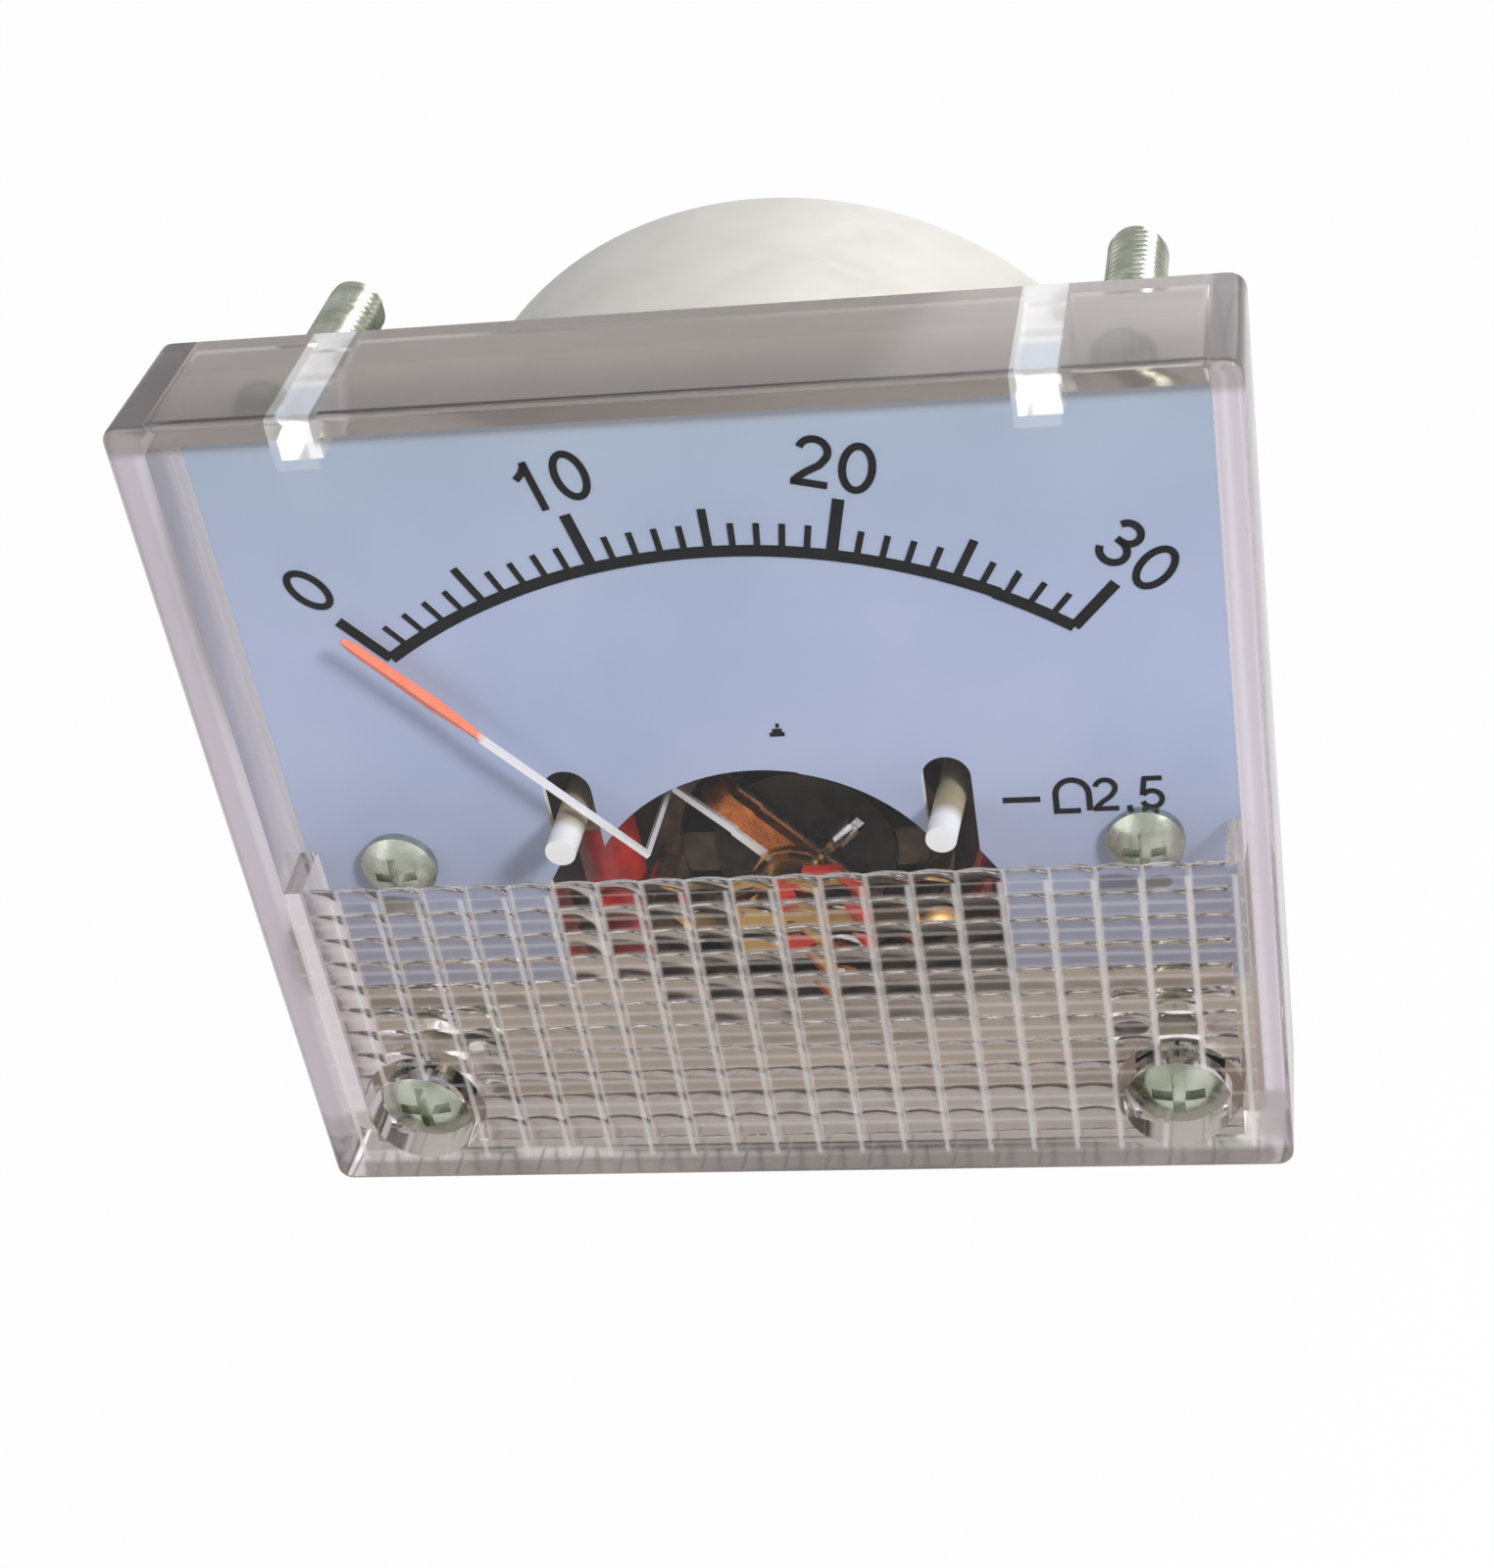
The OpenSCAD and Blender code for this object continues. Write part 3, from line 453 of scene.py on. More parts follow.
def clear_plastic():
    """Clear moulded polystyrene: polished in the window, and hazier in the walls, the ribs and the lens. Painted
    shade tints the walls and the lens darker.
    """
    made = Surface("clear_cover")
    made.set("IOR", PLASTIC_IOR)
    made.set("Specular Tint", (MIRROR_SHARE, MIRROR_SHARE, MIRROR_SHARE, 1))
    x, _, z = made.axes()
    off_x = made.math("ABSOLUTE", x)
    side_walls = made.between_mm(off_x, *(INNER_W / 2 + v for v in WALL_FADE))
    end_walls = made.between_mm(made.math("ABSOLUTE", z), *(INNER_H / 2 + v for v in WALL_FADE))
    walls = made.math("MAXIMUM", side_walls, end_walls)
    from_rib = made.math("ABSOLUTE", made.math("SUBTRACT", off_x, RIB_X * MM))
    rib_low = INNER_H / 2 - RIB_H
    ribs = made.math("MULTIPLY", made.between_mm(from_rib, RIB_W / 2 + RIB_FADE, RIB_W / 2 + RIB_FADE / 2),
                     made.between_mm(z, rib_low - RIB_FADE, rib_low))
    in_lens = made.between_mm(z, LENS_TOP + LENS_FADE, LENS_TOP - LENS_FADE)
    from_column = made.math("PINGPONG", made.math("ADD", x, LENS_COLS * CELL_W / 2 * MM), CELL_W / 2 * MM)
    from_row = made.math("PINGPONG", made.math("SUBTRACT", LENS_TOP * MM, z), CELL_H / 2 * MM)
    grooves = made.math("MAXIMUM", made.between_mm(from_column, COLUMN_GROOVE, GROOVE_MIDDLE),
                        made.between_mm(from_row, ROW_GROOVE, GROOVE_MIDDLE, 0.0, ROW_SHARE))
    grooves = made.math("MULTIPLY", in_lens, grooves)

    # Painted shade: the lens is tinted a little darker and warmer, the side walls darker, and the end walls darker
    # still
    colour = made.mix(in_lens, srgb(250, 250, 252), srgb(244, 240, 238))
    colour = made.mix(side_walls, colour, srgb(206, 197, 206))
    colour = made.mix(end_walls, colour, srgb(156, 148, 144))
    made.set("Base Color", made.mix(ribs, colour, srgb(250, 250, 252)))
    haze = made.math("MULTIPLY", walls, WALL_HAZE)
    haze = made.math("MAXIMUM", haze, made.math("MULTIPLY", ribs, RIB_HAZE))
    haze = made.math("MAXIMUM", haze, made.math("MULTIPLY", grooves, GROOVE_HAZE))
    made.set("Transmission Weight", made.math("SUBTRACT", 1.0, haze))
    made.set("Roughness", made.between(haze, 0.0, 0.4, 0.0, 0.25))
    made.bump(made.noise(5, 0), 0.05, 0.25)

    # Light on its way to a dull surface goes straight through, and isn't bent. Under the lens it is dimmed and
    # warmed, which paints shade on what lies beneath
    tint = made.mix(in_lens, srgb(250, 250, 251), srgb(226, 220, 216))
    clear = made.node("ShaderNodeBsdfTransparent", {"Color": tint})
    ray = made.node("ShaderNodeLightPath")
    gathered = made.math("GREATER_THAN", ray.outputs["Diffuse Depth"], 0.5)
    straight = made.math("MAXIMUM", ray.outputs["Is Shadow Ray"], gathered)
    end_in_mix(made.tree, "Material Output", straight, made.shader, clear)
    return made


def dial_paint():
    """Matt pale blue-grey paint, greyer and darker towards the top as painted shade, with black print where the
    relief stands up and a painted highlight along its cut edge.
    """
    made = Surface("dial_paint", roughness=0.7)
    made.set("Specular IOR Level", 0.12)
    _, y, z = made.axes()
    patches = made.patches(9, 2)
    # Painted shade: the paint grows darker and greyer towards the top of the dial
    low = made.mix(patches, srgb(172, 183, 210), srgb(181, 190, 216))
    high = made.mix(patches, srgb(166, 181, 196), srgb(172, 186, 200))
    paint = made.mix(made.between_mm(z, *DIAL_SHADE_Z), low, high)
    # Painted highlight: where the normal lies across the face, on the plate's cut edge, the paint is near-white
    normal = made.node("ShaderNodeNewGeometry").outputs["Normal"]
    facing = made.node("ShaderNodeSeparateXYZ", {"Vector": normal}).outputs["Y"]
    cut_edge = made.between(made.math("ABSOLUTE", facing), 0.7, 0.3)
    paint = made.mix(cut_edge, paint, srgb(236, 236, 232))
    print_y = -(DIAL_FACE + INK_T / 2)
    printed = made.between_mm(y, print_y + INK_T / 8, print_y - INK_T / 8)
    made.set("Base Color", made.mix(printed, paint, srgb(14, 14, 18)))
    made.bump(made.noise(0.25, 3), 0.01, 0.3)
    return made


def nylon():
    """Moulded nylon, yellowish at the root and painted darker there as shade down in the slot, and white at the
    free end.
    """
    made = Surface("nylon", roughness=0.4)
    free = made.between_mm(made.axes()[1], *NYLON_SHADE_Y)
    # Painted shade: the root is darker, where the peg stands down in the slot
    root = made.mix(made.noise(0.6, 3), srgb(160, 148, 118), srgb(178, 166, 138))
    made.set("Base Color", made.mix(free, root, srgb(244, 243, 240)))
    made.set("Subsurface Weight", 0.15)
    made.set("Subsurface Scale", 0.6 * MM)
    made.bump(made.noise(0.3, 4), 0.01, 0.4)
    return made


def pointer_paint():
    """A bright bare arm, and orange paint over the blade at its end."""
    made = Surface("pointer_paint", roughness=0.35)
    x, _, z = made.axes()
    reach = made.distance(x, made.math("SUBTRACT", z, PIVOT_Y * MM))
    painted = made.between_mm(reach, *BLADE_PAINT_REACH)
    orange = made.mix(made.noise(0.8, 3), srgb(244, 120, 88), srgb(250, 148, 116))
    made.set("Base Color", made.mix(painted, srgb(250, 248, 248), orange))
    made.set("Metallic", made.between(painted, 0, 1, 0.35, 0.0))
    made.bump(made.noise(0.2, 3), 0.01, 0.3)
    return made


def resistor_paint():
    """Red lacquer on the resistor's body, an olive cap on its upper end, and bare wire on its leads."""
    made = Surface("resistor_paint", roughness=0.3)
    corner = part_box("multiplier_resistor")[0]
    x, y, z = made.axes()
    off_axis = made.distance(made.math("SUBTRACT", x, corner.x + RESISTOR_R * MM),
                             made.math("SUBTRACT", y, corner.y + RESISTOR_R * MM))
    past_lead = made.between_mm(off_axis, LEAD_REACH - 0.05, LEAD_REACH + 0.05)
    within = made.between_mm(off_axis, RESISTOR_R + 0.15, RESISTOR_R + 0.05)
    body = made.math("MULTIPLY", past_lead, within)
    cap = made.between_mm(z, RESISTOR_TOP - CAP_L - 0.1, RESISTOR_TOP - CAP_L + 0.1)
    lacquer = made.mix(made.patches(1.2, 3), srgb(150, 24, 24), srgb(190, 44, 40))
    lacquer = made.mix(cap, lacquer, srgb(126, 116, 84))
    made.set("Base Color", made.mix(body, srgb(196, 192, 186), lacquer))
    made.set("Metallic", made.between(body, 0, 1, 1.0, 0.0))
    made.bump(made.noise(0.5, 4), 0.03, 0.4)
    return made


def half_dipped(name, bare, paint, dip_x):
    """Bare metal, with paint over what lies past a plane across x, whose edge is between two places."""
    made = Surface(name, roughness=0.33)
    dipped = made.between_mm(made.axes()[0], *dip_x)
    patches = made.noise(0.7, 3)
    metal = made.mix(patches, srgb(*bare), srgb(*(int(v * 0.8) for v in bare)))
    coat = made.mix(patches, srgb(*paint), srgb(*(int(v * 0.85) for v in paint)))
    made.set("Base Color", made.mix(dipped, metal, coat))
    made.set("Metallic", made.between(dipped, 0, 1, 1.0, 0.0))
    made.bump(made.noise(0.3, 5), 0.01, 0.4)
    return made


def darkened_bridge():
    """Brass that is bright round the jewel and darker towards its feet."""
    made = Surface("darkened_bridge", roughness=0.36, metallic=1.0)
    towards_feet = made.between_mm(made.math("ABSOLUTE", made.axes()[0]), *BRIDGE_X)
    bright = made.mix(made.noise(0.8, 4), srgb(214, 178, 116), srgb(160, 126, 78))
    made.set("Base Color", made.mix(towards_feet, bright, srgb(84, 72, 58)))
    made.bump(made.noise(0.3, 5), 0.01, 0.4)
    return made


surfaces = (
    clear_plastic(),
    dial_paint(),
    nylon(),
    pointer_paint(),
    resistor_paint(),
    darkened_bridge(),
    half_dipped("red_lever", BRASS, (222, 66, 48), LEVER_DIP_X),
    mottled("white_base", (221, 218, 211), (215, 211, 204), 0.42, grain=0.8),
    mottled("black_frame", (104, 86, 70), (66, 52, 42), 0.55, grain=0.5, gloss=0.2),
    mottled("soft_iron", (92, 78, 66), (60, 48, 40), 0.4, 1.0, grain=0.4),
    mottled("magnet", (60, 52, 46), (40, 34, 30), 0.5, 0.6, grain=0.3, relief=0.02),
    mottled("former_aluminium", (226, 226, 228), (205, 205, 208), 0.28, 1.0, grain=0.3),
    mottled("copper_winding", (216, 132, 68), (178, 100, 48), 0.3, 0.75, grain=0.3),
    mottled("wire_insulation", (176, 36, 32), (150, 26, 24), 0.35, grain=0.5),
    mottled("spring_bronze", (216, 172, 112), (190, 144, 86), 0.3, 1.0, grain=0.2),
    mottled("brass", BRASS, (158, 126, 82), 0.32, 1.0, grain=0.3),
    mottled("tinned_brass", (206, 202, 188), (184, 178, 160), 0.34, 1.0, grain=0.4),
    mottled("bright_steel", (226, 226, 228), (200, 200, 204), 0.25, 1.0, grain=0.3),
    mottled("zinc_steel", (198, 202, 190), (162, 168, 150), 0.24, 1.0, grain=0.4),
    mottled("print_ink", (16, 16, 20), (12, 12, 15), 0.6, grain=0.3, relief=0.003, gloss=0.1),
)
material_of = {made.name: made.material for made in surfaces}

# Nodes whose finish isn't that of their slot
OTHER_FINISH = {"core_wedge_left": "soft_iron", "core_wedge_right": "soft_iron",
                "front_bridge": "darkened_bridge"}


def dress_cad_nodes():
    """Every CAD node gets the material of its own slot, or its other finish."""
    for node, slot in slot_of.items():
        obj = nodes[node]
        if not obj.material_slots:
            obj.data.materials.append(None)
        for place in obj.material_slots:
            place.material = material_of[OTHER_FINISH.get(node, slot)]


# ---- Cover ----

def lens_field():
    """The lens: columns and rows of smooth pillows on the inner face of the window, as a closed block."""
    left = -LENS_COLS * CELL_W / 2
    bottom = LENS_TOP - LENS_ROWS * CELL_H
    across = LENS_COLS * CELL_STEPS
    up = LENS_ROWS * CELL_STEPS
    row = across + 1

    def depth(i, j):
        u = 2 * (i % CELL_STEPS) / CELL_STEPS - 1
        v = 2 * (j % CELL_STEPS) / CELL_STEPS - 1
        return WINDOW_Z - VALLEY_H - PILLOW_H * (1 - FALL_ACROSS * u * u - FALL_UP * v * v)

    vertices = [(left + i * CELL_W / CELL_STEPS, bottom + j * CELL_H / CELL_STEPS, depth(i, j))
                for j in range(up + 1) for i in range(row)]
    faces = [(j * row + i, j * row + i + 1, (j + 1) * row + i + 1, (j + 1) * row + i)
             for j in range(up) for i in range(across)]
    rim = list(range(across))
    rim += [j * row + across for j in range(up)]
    rim += [up * row + i for i in range(across, 0, -1)]
    rim += [j * row for j in range(up, 0, -1)]
    top = len(vertices)
    vertices += [(vertices[k][0], vertices[k][1], WINDOW_Z + LENS_JOIN) for k in rim]
    count = len(rim)
    faces += [(rim[k], rim[(k + 1) % count], top + (k + 1) % count, top + k) for k in range(count)]
    faces.append(tuple(range(top, top + count)))
    return vertices, faces


def cover():
    """The clear cover, with rounded front edges and a lens of smooth pillows."""
    rings = [round_rectangle(COVER_W, COVER_H, CORNER_R, 0)]
    for k in range(EDGE_STEPS + 1):
        a = math.pi / 2 * k / EDGE_STEPS
        inset = EDGE_R * (1 - math.cos(a))
        rings.append(round_rectangle(COVER_W - 2 * inset, COVER_H - 2 * inset, CORNER_R - inset,
                                     COVER_D - EDGE_R + EDGE_R * math.sin(a)))
    room = loft([round_rectangle(INNER_W, INNER_H, INNER_R, z) for z in (-1, WINDOW_Z)])
    steps = [("DIFFERENCE", room), ("UNION", lens_field())]
    top = WINDOW_Z + JOIN
    into_wall = WALL_T / 2
    ears = [(side * COVER_SCREW[0], COVER_SCREW[1]) for side in (-1, 1)]
    for side, ear in zip((-1, 1), ears):
        rib = sorted((side * RIB_X - RIB_W / 2, side * RIB_X + RIB_W / 2))
        steps.append(("UNION", block(*rib, INNER_H / 2 - RIB_H, INNER_H / 2 + into_wall, 0.0, top)))
        ledge = sorted((side * (INNER_W / 2 - LEDGE_W), side * (INNER_W / 2 + into_wall)))
        steps.append(("UNION", block(*ledge, -INNER_H / 2 - into_wall, LENS_TOP, LEDGE_Z, top)))
        steps.append(("UNION", lathe(((BOSS_R, FLANGE_T), (BOSS_R, top)), ROUND_SIDES, ear)))
    hole = ((SHANK_HOLE_R, FLANGE_T - 1), (SHANK_HOLE_R, COUNTERBORE_Z),
            (COUNTERBORE_R, COUNTERBORE_Z), (COUNTERBORE_R, COVER_D + 1))
    steps += [("DIFFERENCE", lathe(hole, ROUND_SIDES, ear)) for ear in ears]
    mesh = combined("cover", loft(rings), steps)
    piece("clear_cover_moulding", "housing", "clear_cover", mesh, ("cover",))


# ---- Dial print ----

# The middle lines of the printed figures, one unit high and about x = 0
FIGURES = {
    "0": [arc(0, 0.5, 0.255, 0.4375, 90, 450, 30)],
    "1": [[(0.08, 0), (0.08, 1)], [(0.10, 0.95), (-0.02, 0.80), (-0.17, 0.71)]],
    "2": [arc(0, 0.695, 0.25, 0.2425, 168, -28) + [(0.13, 0.44), (-0.08, 0.28), (-0.22, 0.14), (-0.26, 0.03)],
          [(-0.325, 0.0625), (0.31, 0.0625)]],
    "3": [arc(-0.01, 0.7325, 0.22, 0.205, 162, -90), arc(0, 0.295, 0.25, 0.2325, 90, -164),
          [(-0.11, 0.5275), (0.0, 0.5275)]],
    "5": [[(-0.22, 0.9375), (0.26, 0.9375)], [(-0.175, 0.96), (-0.245, 0.44)],
          arc(-0.01, 0.3125, 0.25, 0.25, 150, -162)],
    ".": [[(0, 0), (0, 0.13)]],
}

# As shares of a figure's height: its width with the space, the decimal point's width, and the line's width
FIGURE_STEP = 0.777
POINT_STEP = 0.39
FIGURE_LINE = 0.134

# A mitre is divided by no less than this, so that a sharp bend doesn't grow a long point
MITRE_LEAST = 0.6


def stroke(bm, path, width, z):
    """A flat line of one width along a path of points, with mitred bends."""
    closed = math.dist(path[0], path[-1]) < 1e-6
    points = [Vector(p) for p in (path[:-1] if closed else path)]
    count = len(points)
    left, right = [], []
    for i, p in enumerate(points):
        before = points[i - 1] if closed or i > 0 else 2 * p - points[i + 1]
        after = points[(i + 1) % count] if closed or i < count - 1 else 2 * p - points[i - 1]
        leaving = (after - p).normalized()
        along = ((p - before).normalized() + leaving).normalized()
        side = Vector((-along.y, along.x)) * width / 2 / max(along.dot(leaving), MITRE_LEAST)
        left.append(bm.verts.new((p.x + side.x, p.y + side.y, z)))
        right.append(bm.verts.new((p.x - side.x, p.y - side.y, z)))
    for i in range(count if closed else count - 1):
        n = (i + 1) % count
        bm.faces.new((left[i], right[i], right[n], left[n]))


def stroke_piece(name, paths, width, z=DIAL_FACE, rise=INK_T, slot="dial_paint", finish="print_ink"):
    """Lines along paths of points, standing up from the face at z."""
    bm = bmesh.new()
    for path in paths:
        stroke(bm, path, width, z)
    grown = bmesh.ops.extrude_face_region(bm, geom=list(bm.faces), use_keep_orig=True)
    for v in grown["geom"]:
        if isinstance(v, bmesh.types.BMVert):
            v.co.z += rise
    bmesh.ops.recalc_face_normals(bm, faces=bm.faces)
    lines = bpy.data.meshes.new(name)
    bm.to_mesh(lines)
    bm.free()
    lines.transform(FACE)
    piece(name, "housing", slot, lines, finish=finish)


def number_piece(name, text, x, y, turn, height):
    """A printed number with its middle at x, y on the dial, turned by so many degrees."""
    steps = [POINT_STEP if c == "." else FIGURE_STEP for c in text]
    start = -sum(steps) / 2
    cos, sin = math.cos(math.radians(turn)), math.sin(math.radians(turn))
    paths = []
    for character, step in zip(text, steps):
        for path in FIGURES[character]:
            flat = [((start + step / 2 + u) * height, (v - 0.5) * height) for u, v in path]
            paths.append([(x + u * cos - v * sin, y + u * sin + v * cos) for u, v in flat])
        start += step
    stroke_piece(name, paths, FIGURE_LINE * height)


def dial_print():
    """The numbers round the scale, and the plain signs at the lower right."""
    for number in NUMBERS:
        number_piece("number_" + number[0], *number, NUMBER_H)
    number_piece("class_number", *CLASS_NUMBER, CLASS_NUMBER_H)
    stroke_piece("direct_current_sign", [[(11.9, -2.55), (13.7, -2.55)]], DASH_LINE)
    arch = [(14.45, -3.3)] + arc(15.25, -2.35, 0.8, 0.85, 180, 0) + [(16.05, -3.3)]
    stroke_piece("moving_coil_sign", [arch, [(14.3, -3.3), (15.6, -3.3)]], SIGN_LINE)
    speck = [[(1.15, 1.75), (1.85, 1.75)], [(1.3, 1.95), (1.75, 1.95)], [(1.5, 2.25), (1.65, 2.25)]]
    stroke_piece("dial_speck", speck, SPECK_LINE)


# ---- Movement ----

def on_needle(turn=ZERO_TURN, z=0):
    """The place of a form that is drawn about the pivot, turned with the needle at zero."""
    return Matrix.Translation((0, PIVOT_Y, z)) @ Matrix.Rotation(turn, 4, "Z")


def winding():
    """The coil's winding: a bundle whose outer layer shows its turns side by side."""
    wire = COIL_W / TURNS
    section = [(-COIL_W / 2, FORMER_T)]
    for k in range(TURNS):
        section += arc((k + 0.5) * wire - COIL_W / 2, WINDING_OUT - wire / 2, wire / 2, wire / 2,
                       180, 0, WIRE_STEPS)
    section.append((COIL_W / 2, FORMER_T))
    loops = [round_rectangle(2 * (COIL_HALF + out), COIL_L + 2 * out, COIL_CORNER_R + out, across)
             for across, out in section]
    # Drawn flat, the loop is stood up so that its length runs along z and its width along the pointer
    place = on_needle(ZERO_TURN + math.pi / 2, CORE_MID) @ Matrix.Rotation(math.pi / 2, 4, "X")
    mesh = stand_up(closed_mesh("winding", *loft(loops, closed=True)), place, TURNED_ANGLE)
    piece("winding_turns", "needle", "copper_winding", mesh, ("coil_winding",))


def pointer():
    """The pointer: a hub, a thin strip that steps up through the dial, and a blade with a ridge along it."""
    # Each station: reach and height of the strip's middle, which way its upper side faces, half width, edge
    upright, bend = (0, 1), (-1, 1)
    flat, sharp = STRIP_T / 2, -STRIP_T / 2 + BLADE_EDGE_T
    stations = [(0.7, ARM_Z, upright, 0.19, flat), (STEP_R, ARM_Z, bend, 0.17, flat),
                (STEP_R, BLADE_Z, bend, 0.14, flat), (BLADE_R, BLADE_Z, upright, 0.17, flat),
                (BLADE_R + 0.4, BLADE_Z, upright, 0.23, sharp),
                (BLADE_R + 2.8, BLADE_Z, upright, 0.4, sharp),
                (TIP_R - 0.6, BLADE_Z, upright, 0.3, sharp), (TIP_R, BLADE_Z, upright, 0.16, sharp)]
    rings = []
    for reach, height, (ny, nz), half, edge in stations:
        rings.append([(u, reach + ny * v, height + nz * v) for u, v in (
            (-half, -STRIP_T / 2), (half, -STRIP_T / 2), (half, edge), (0, STRIP_T / 2), (-half, edge))])
    hub = lathe(((HUB_R, ARM_Z - STRIP_T / 2), (HUB_R, ARM_Z + STRIP_T / 2)), ROUND_SIDES)
    bore = lathe(((BORE_R, ARM_Z - 1), (BORE_R, ARM_Z + 1)), 32)
    mesh = combined("pointer", hub, [("UNION", loft(rings)), ("DIFFERENCE", bore)], on_needle())
    piece("pointer_strip", "needle", "pointer_paint", mesh, ("pointer",))


# ---- Threads and marks at the back ----

def turned(name, centre, sections, pitch):
    """A turned stud: sections are (radius from, z from, radius to, z to, form): plain, hex or thread."""
    rings = []
    for r0, z0, r1, z1, form in sections:
        count = int(abs(z1 - z0) / pitch * THREAD_STEPS) if form == "thread" else 1
        for k in range(count + 1):
            z = z0 + (z1 - z0) * k / count
            ring = []
            for s in range(THREAD_SIDES):
                a = 2 * math.pi * s / THREAD_SIDES
                r = r0 + (r1 - r0) * k / count
                if form == "thread":
                    r -= THREAD_DEPTH * pitch * abs(2 * ((z / pitch - s / THREAD_SIDES) % 1) - 1)
                elif form == "hex":
                    r *= math.cos(math.pi / 6) / math.cos(a % (math.pi / 3) - math.pi / 6)
                ring.append((centre[0] + r * math.cos(a), centre[1] + r * math.sin(a), z))
            rings.append(ring)
    return stand_up(closed_mesh(name, *loft(rings)), Matrix.Identity(4), TURNED_ANGLE)


def threaded_end(radius, start, end, point_l, point_r):
    """The last two sections of a stud: a thread, and a short point."""
    return [(radius, start, radius, end + point_l, "thread"),
            (point_r[0], end + point_l - POINT_GAP, point_r[1], end, "plain")]


def mount_stud(end):
    """The sections of a mounting stud, from the bottom of its tapped hole to its rear end."""
    return [(MOUNT_HOLE_R, MOUNT_HOLE_Z, MOUNT_HOLE_R, MOUNT_HEAD_Z, "plain"),
            (MOUNT_HEAD_R, MOUNT_HEAD_Z, MOUNT_HEAD_R, 0, "plain"),
            (MOUNT_R, 0, MOUNT_R, MOUNT_THREAD_Z, "plain"),
            *threaded_end(MOUNT_R, MOUNT_THREAD_Z, end, MOUNT_POINT_L, MOUNT_POINT_R)]


def terminal_stud(end):
    """The sections of a terminal stud, from its head to its rear end."""
    return [(TERMINAL_HEX_R, TERMINAL_HEX_Z, TERMINAL_HEX_R, TERMINAL_NECK_Z, "hex"),
            (TERMINAL_R, TERMINAL_NECK_Z, TERMINAL_R, TERMINAL_THREAD_Z, "plain"),
            *threaded_end(TERMINAL_R, TERMINAL_THREAD_Z, end, TERMINAL_POINT_L, TERMINAL_POINT_R)]


def studs():
    """The mounting studs and the terminal studs, all with cut threads."""
    for kind, sections, pitch in (("mount_stud", mount_stud, MOUNT_PITCH),
                                  ("terminal_stud", terminal_stud, TERMINAL_PITCH)):
        for node in slot_of:
            if node.startswith(kind):
                mesh = turned(node, middle_of(node), sections(rear_of(node)), pitch)
                piece(node + "_threaded", "housing", slot_of[node], mesh, (node,))


def terminal_marks():
    """Raised plus and minus signs beside the terminals."""
    x = middle_of("terminal_stud_right")[0]
    half, line = MARK_L / 2, MARK_W / 2
    level = [(x - half, MARK_Y), (x + half, MARK_Y)]
    upper = [(x, MARK_Y + line), (x, MARK_Y + half)]
    lower = [(x, MARK_Y - half), (x, MARK_Y - line)]
    mirrored = [(-px, py) for px, py in level]
    for name, paths in (("plus_mark", [level, upper, lower]), ("minus_mark", [mirrored])):
        stroke_piece(name, paths, MARK_W, rear_of("base"), -MARK_RISE, "white_base", "white_base")


# ---- Stage ----

# Places and sizes here are in metres. A white is how much of it the camera sees, and how much a mirror does.
FLOOR_SIZE = 4
FLOOR_GAP = 0.00002
FLOOR_GREY = 0.82
FLOOR_WHITE = (0.97, 0.6)
SKY = (0.96, 0.97, 1, 1)
SKY_STRENGTH = 0.34
SKY_WHITE = (1, 0.42)

# Each lamp has its place, its side and its power in watts. The camera's turn is in degrees.
LAMPS = {"key": ((0.33, -0.25, 0.31), 0.09, 2.1),
         "fill": ((-0.32, -0.28, 0.16), 0.3, 0.3),
         "back": ((0.1, 0.35, 0.25), 0.3, 0.5)}
CAMERA_PLACE = (0.02945, -0.11341, 0.0768)
CAMERA_TURN = (54.80, 7.41, 6.70)
CAMERA_LENS_MM = 65.3
CAMERA_SHIFT_X = -0.086


def seen(tree, share, mirror_share):
    """How much of the white shows: to the camera and through clear pieces, and to what mirrors it."""
    ray = tree.nodes.new("ShaderNodeLightPath")
    direct = math_in(tree, "MAXIMUM", ray.outputs["Is Camera Ray"], ray.outputs["Is Transmission Ray"])
    direct = math_in(tree, "MULTIPLY", direct, share)
    mirrored = math_in(tree, "MULTIPLY", ray.outputs["Is Glossy Ray"], mirror_share)
    # What a dull surface gathers through the clear cover is light, and stays at the room's level
    first_hand = math_in(tree, "LESS_THAN", ray.outputs["Diffuse Depth"], 0.5)
    return math_in(tree, "MULTIPLY", math_in(tree, "MAXIMUM", direct, mirrored), first_hand)


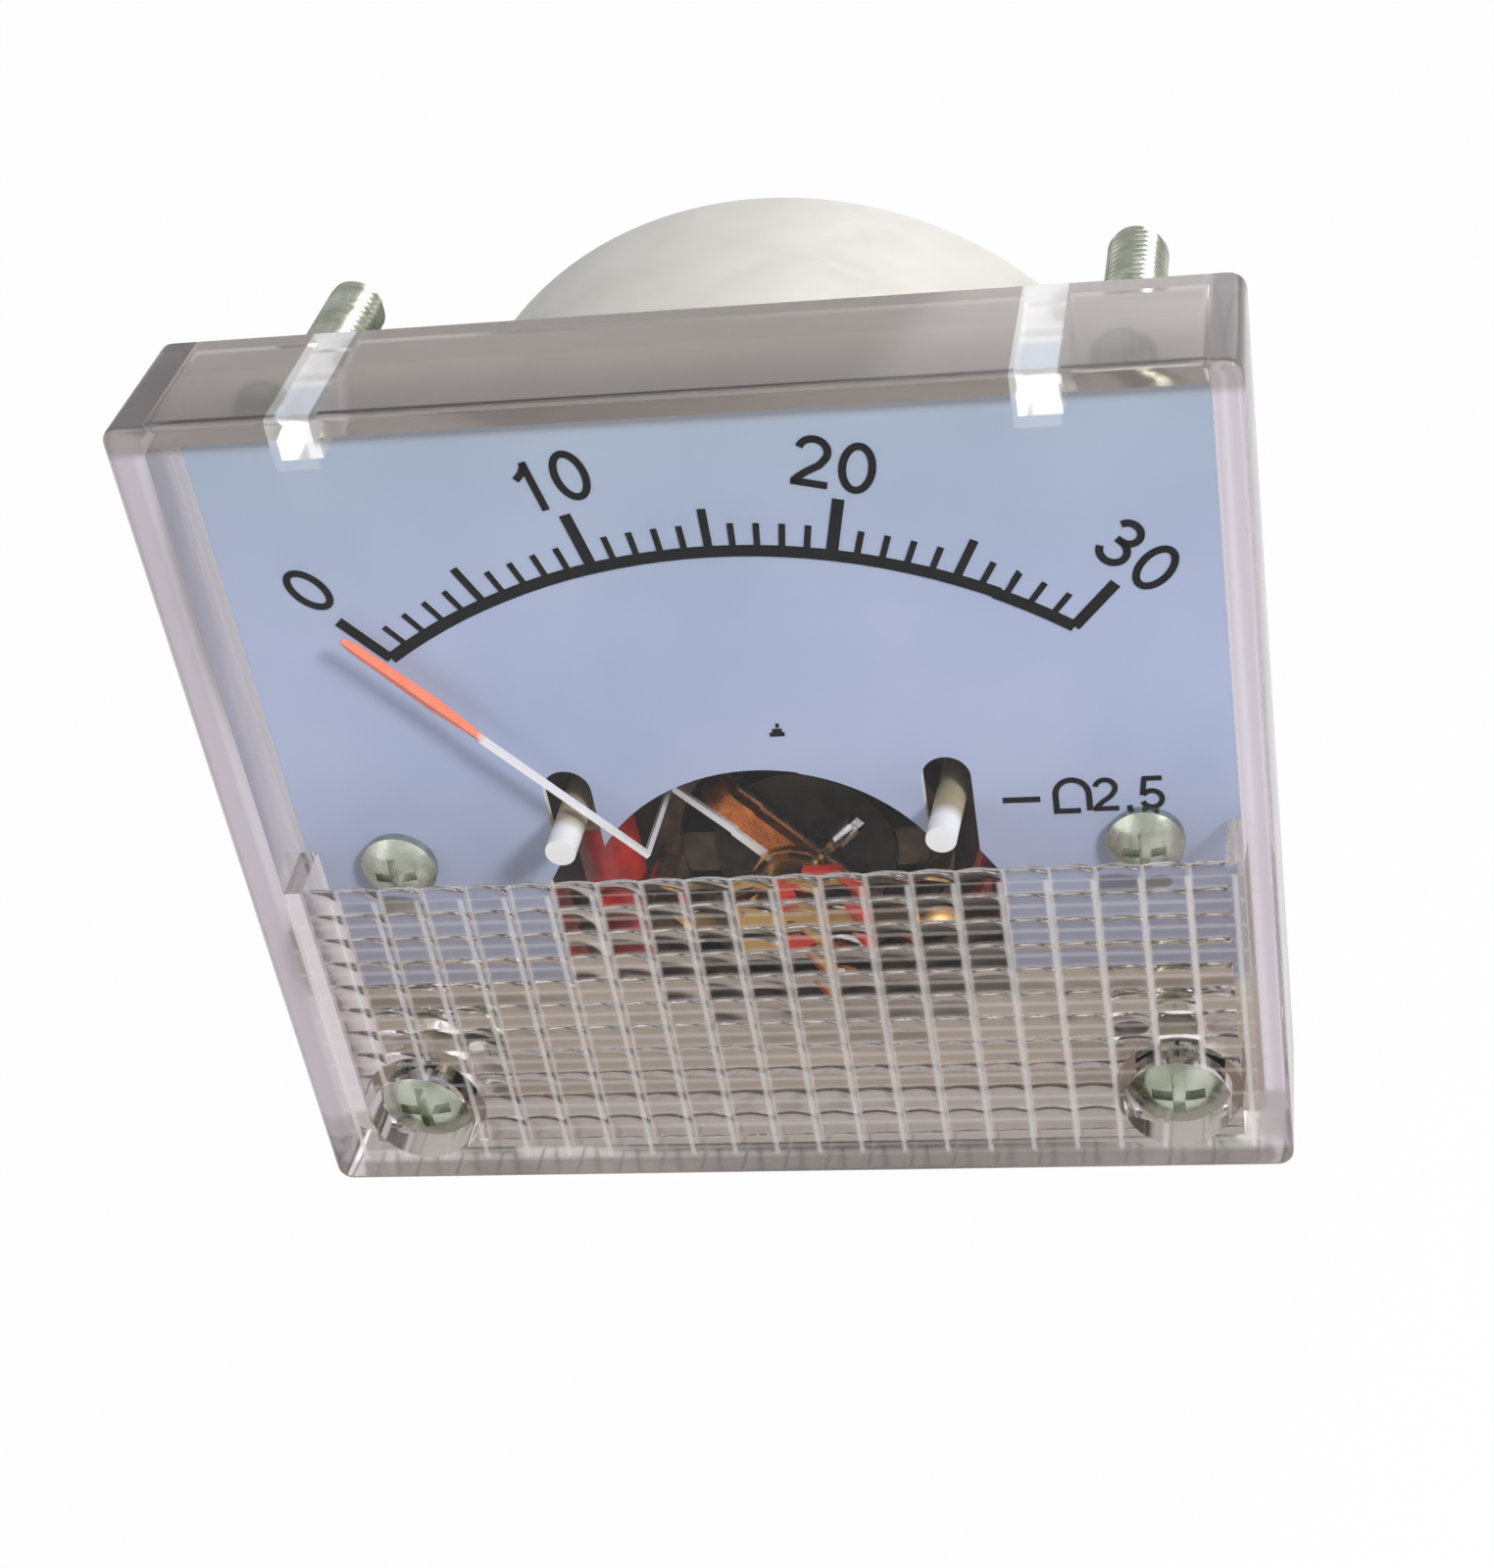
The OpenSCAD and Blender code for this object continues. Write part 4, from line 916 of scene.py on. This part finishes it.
def floor():
    """A plain pale floor just under the object, which the camera sees as white."""
    bpy.ops.mesh.primitive_plane_add(size=FLOOR_SIZE, location=(0, 0, cad_box[0][2] - FLOOR_GAP))
    plane = bpy.context.object
    plane.name = "floor"
    paper = Surface("floor", roughness=0.9)
    paper.set("Base Color", (FLOOR_GREY, FLOOR_GREY, FLOOR_GREY, 1))
    glow = paper.node("ShaderNodeEmission", {"Strength": 1})
    end_in_mix(paper.tree, "Material Output", seen(paper.tree, *FLOOR_WHITE), paper.shader, glow)
    plane.data.materials.append(paper.material)


def sky():
    """A dim even room that lights the object, and that the camera sees as white."""
    world = bpy.data.worlds.new("studio")
    bpy.context.scene.world = world
    world.use_nodes = True
    tree = world.node_tree
    around = tree.nodes["Background"]
    around.inputs["Color"].default_value = SKY
    around.inputs["Strength"].default_value = SKY_STRENGTH
    white = node_in(tree, "ShaderNodeBackground", {"Color": (1, 1, 1, 1), "Strength": 1})
    end_in_mix(tree, "World Output", seen(tree, *SKY_WHITE), around, white)


def lamps():
    """Soft square lamps at the upper right, the left and behind, all pointing at the object."""
    for name, (place, size, power) in LAMPS.items():
        light = bpy.data.lights.new(name, "AREA")
        light.size = size
        light.energy = power
        obj = bpy.data.objects.new(name, light)
        obj.location = place
        obj.rotation_euler = (-Vector(place)).to_track_quat("-Z", "Y").to_euler()
        bpy.context.scene.collection.objects.link(obj)


def camera():
    """In front of the object, above it and to its right, turned a little, as in the photo."""
    data = bpy.data.cameras.new("camera")
    data.lens = CAMERA_LENS_MM
    data.shift_x = CAMERA_SHIFT_X
    data.clip_start = 0.005
    data.clip_end = 10
    obj = bpy.data.objects.new("camera", data)
    obj.location = CAMERA_PLACE
    obj.rotation_euler = tuple(math.radians(a) for a in CAMERA_TURN)
    bpy.context.scene.collection.objects.link(obj)
    bpy.context.scene.camera = obj


camera()
floor()
sky()
lamps()
dress_cad_nodes()
cover()
dial_print()
winding()
pointer()
studs()
terminal_marks()

bpy.context.scene.view_settings.view_transform = "Standard"
